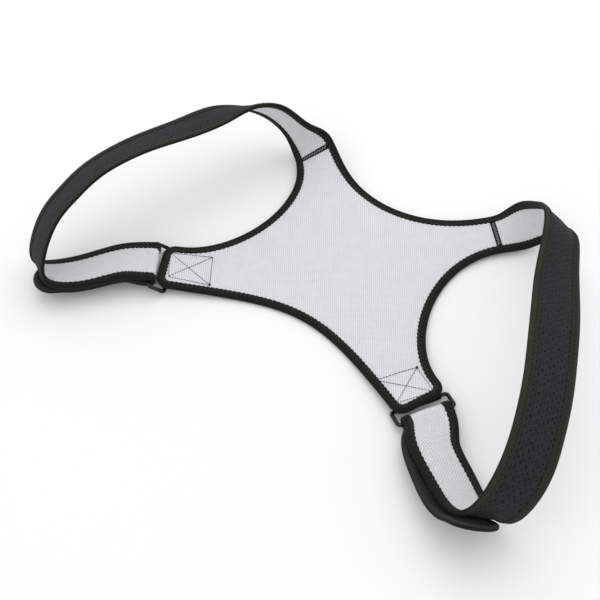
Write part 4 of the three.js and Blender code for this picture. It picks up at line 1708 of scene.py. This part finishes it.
LEFT_LOOP = (
    (0.07, 0.16, -0.14, 0.24, 0, 45),
    (0.13, 0.32, -0.18, 0.52, 10, 44),
    (0.2, 0.45, -0.1, 0.74, 18, 35),
    (0.27, 0.53, 0.02, 0.81, 21, 18),
    (0.33, 0.6, 0.16, 0.84, 21, 17),
    (0.4, 0.68, 0.3, 0.89, 21, 20),
    (0.47, 0.76, 0.44, 0.91, 21, 23),
    (0.53, 0.82, 0.6, 0.88, 21, 25),
    (0.6, 0.83, 0.74, 0.79, 21, 26),
    (0.67, 0.83, 0.87, 0.59, 22, 27),
    (0.73, 0.77, 0.97, 0.28, 25, 26),
    (0.8, 0.66, 0.85, 0.05, 36, 17),
    (0.87, 0.44, 0.56, -0.01, 41, 8),
    (0.93, 0.23, 0.26, 0.02, 43, 5),
)


@dataclass
class Studio:
    """The white table, soft light and the camera at the photograph's angle."""

    azimuth: float = 32.4
    elevation: float = 50.0
    distance: float = 1.1
    lens: float = 62.7
    sensor: float = 36.0
    near: float = 0.01
    shift: tuple = (-0.0825, -0.0667)
    sky: float = 1.02
    key: float = 5.0
    lamp_size: float = 1.6
    lamp_place: tuple = (-0.5, 0.7, 1.5)
    table_reach: float = 40.0
    table_gap: float = 0.0004

    def table(self) -> Object:
        """Builds the table: one wide square just under the brace.

        Returns:
            The table.
        """
        signs = ((-1, -1), (1, -1), (1, 1), (-1, 1))
        corners = [(x * self.table_reach, y * self.table_reach, -self.table_gap) for x, y in signs]
        mesh = bpy.data.meshes.new("table")
        mesh.from_pydata(corners, [], [(0, 1, 2, 3)])
        mesh.materials.append(TableTop().material())
        made = linked("table", mesh)
        return made

    def lights(self) -> None:
        """Makes the even white sky and one broad soft lamp above and behind."""
        world = bpy.data.worlds.new("soft_white")
        world.use_nodes = True
        sky = world.node_tree.nodes["Background"].inputs
        sky["Color"].default_value = (1.0, 1.0, 1.0, 1.0)
        sky["Strength"].default_value = self.sky
        bpy.context.scene.world = world
        lamp = bpy.data.lights.new("broad_lamp", "AREA")
        lamp.shape, lamp.size, lamp.energy = "DISK", self.lamp_size, self.key
        made = linked("broad_lamp", lamp)
        made.location = self.lamp_place
        made.rotation_euler = (-made.location).to_track_quat("-Z", "Y").to_euler()

    def camera(self) -> None:
        """Makes the camera: it looks at the frame's origin from the given angle and distance."""
        a, e = np.radians(self.azimuth), np.radians(self.elevation)
        back = np.array([np.sin(a) * np.cos(e), -np.cos(a) * np.cos(e), np.sin(e)])
        right = np.array([np.cos(a), np.sin(a), 0])
        lens = bpy.data.cameras.new("camera")
        lens.lens, lens.sensor_width, lens.clip_start = self.lens, self.sensor, self.near
        lens.shift_x, lens.shift_y = self.shift
        made = linked("camera", lens)
        turn = Matrix(np.column_stack([right, np.cross(back, right), back]).tolist())
        made.matrix_world = Matrix.Translation(Vector(back * self.distance)) @ turn.to_4x4()
        bpy.context.scene.camera = made
        bpy.context.scene.view_settings.view_transform = "Standard"


def main() -> None:
    """Builds the studio, the panel, the rings and the straps, in that order."""
    studio = Studio()
    studio.camera()
    studio.lights()
    table = studio.table()
    finishes = Finishes()
    shape, binding = PanelShape(), Binding()
    BackPanel(shape, binding, finishes).build(table)
    right = RingSet(Side.RIGHT, shape, finishes, pitch=12.5, turn=8.0)
    left = RingSet(Side.LEFT, shape, finishes, pitch=35.0, turn=5.0)
    loops = ((right, RIGHT_LOOP, 0.27, 10.0), (left, LEFT_LOOP, 0.225, -2.0))
    for rings, rows, tail_share, tail_shift in loops:
        rings.build()
        ShoulderStrap(
            rings.side, shape, rings, binding, finishes, rows, tail_share, tail_shift
        ).build()


if __name__ == "__main__":
    main()
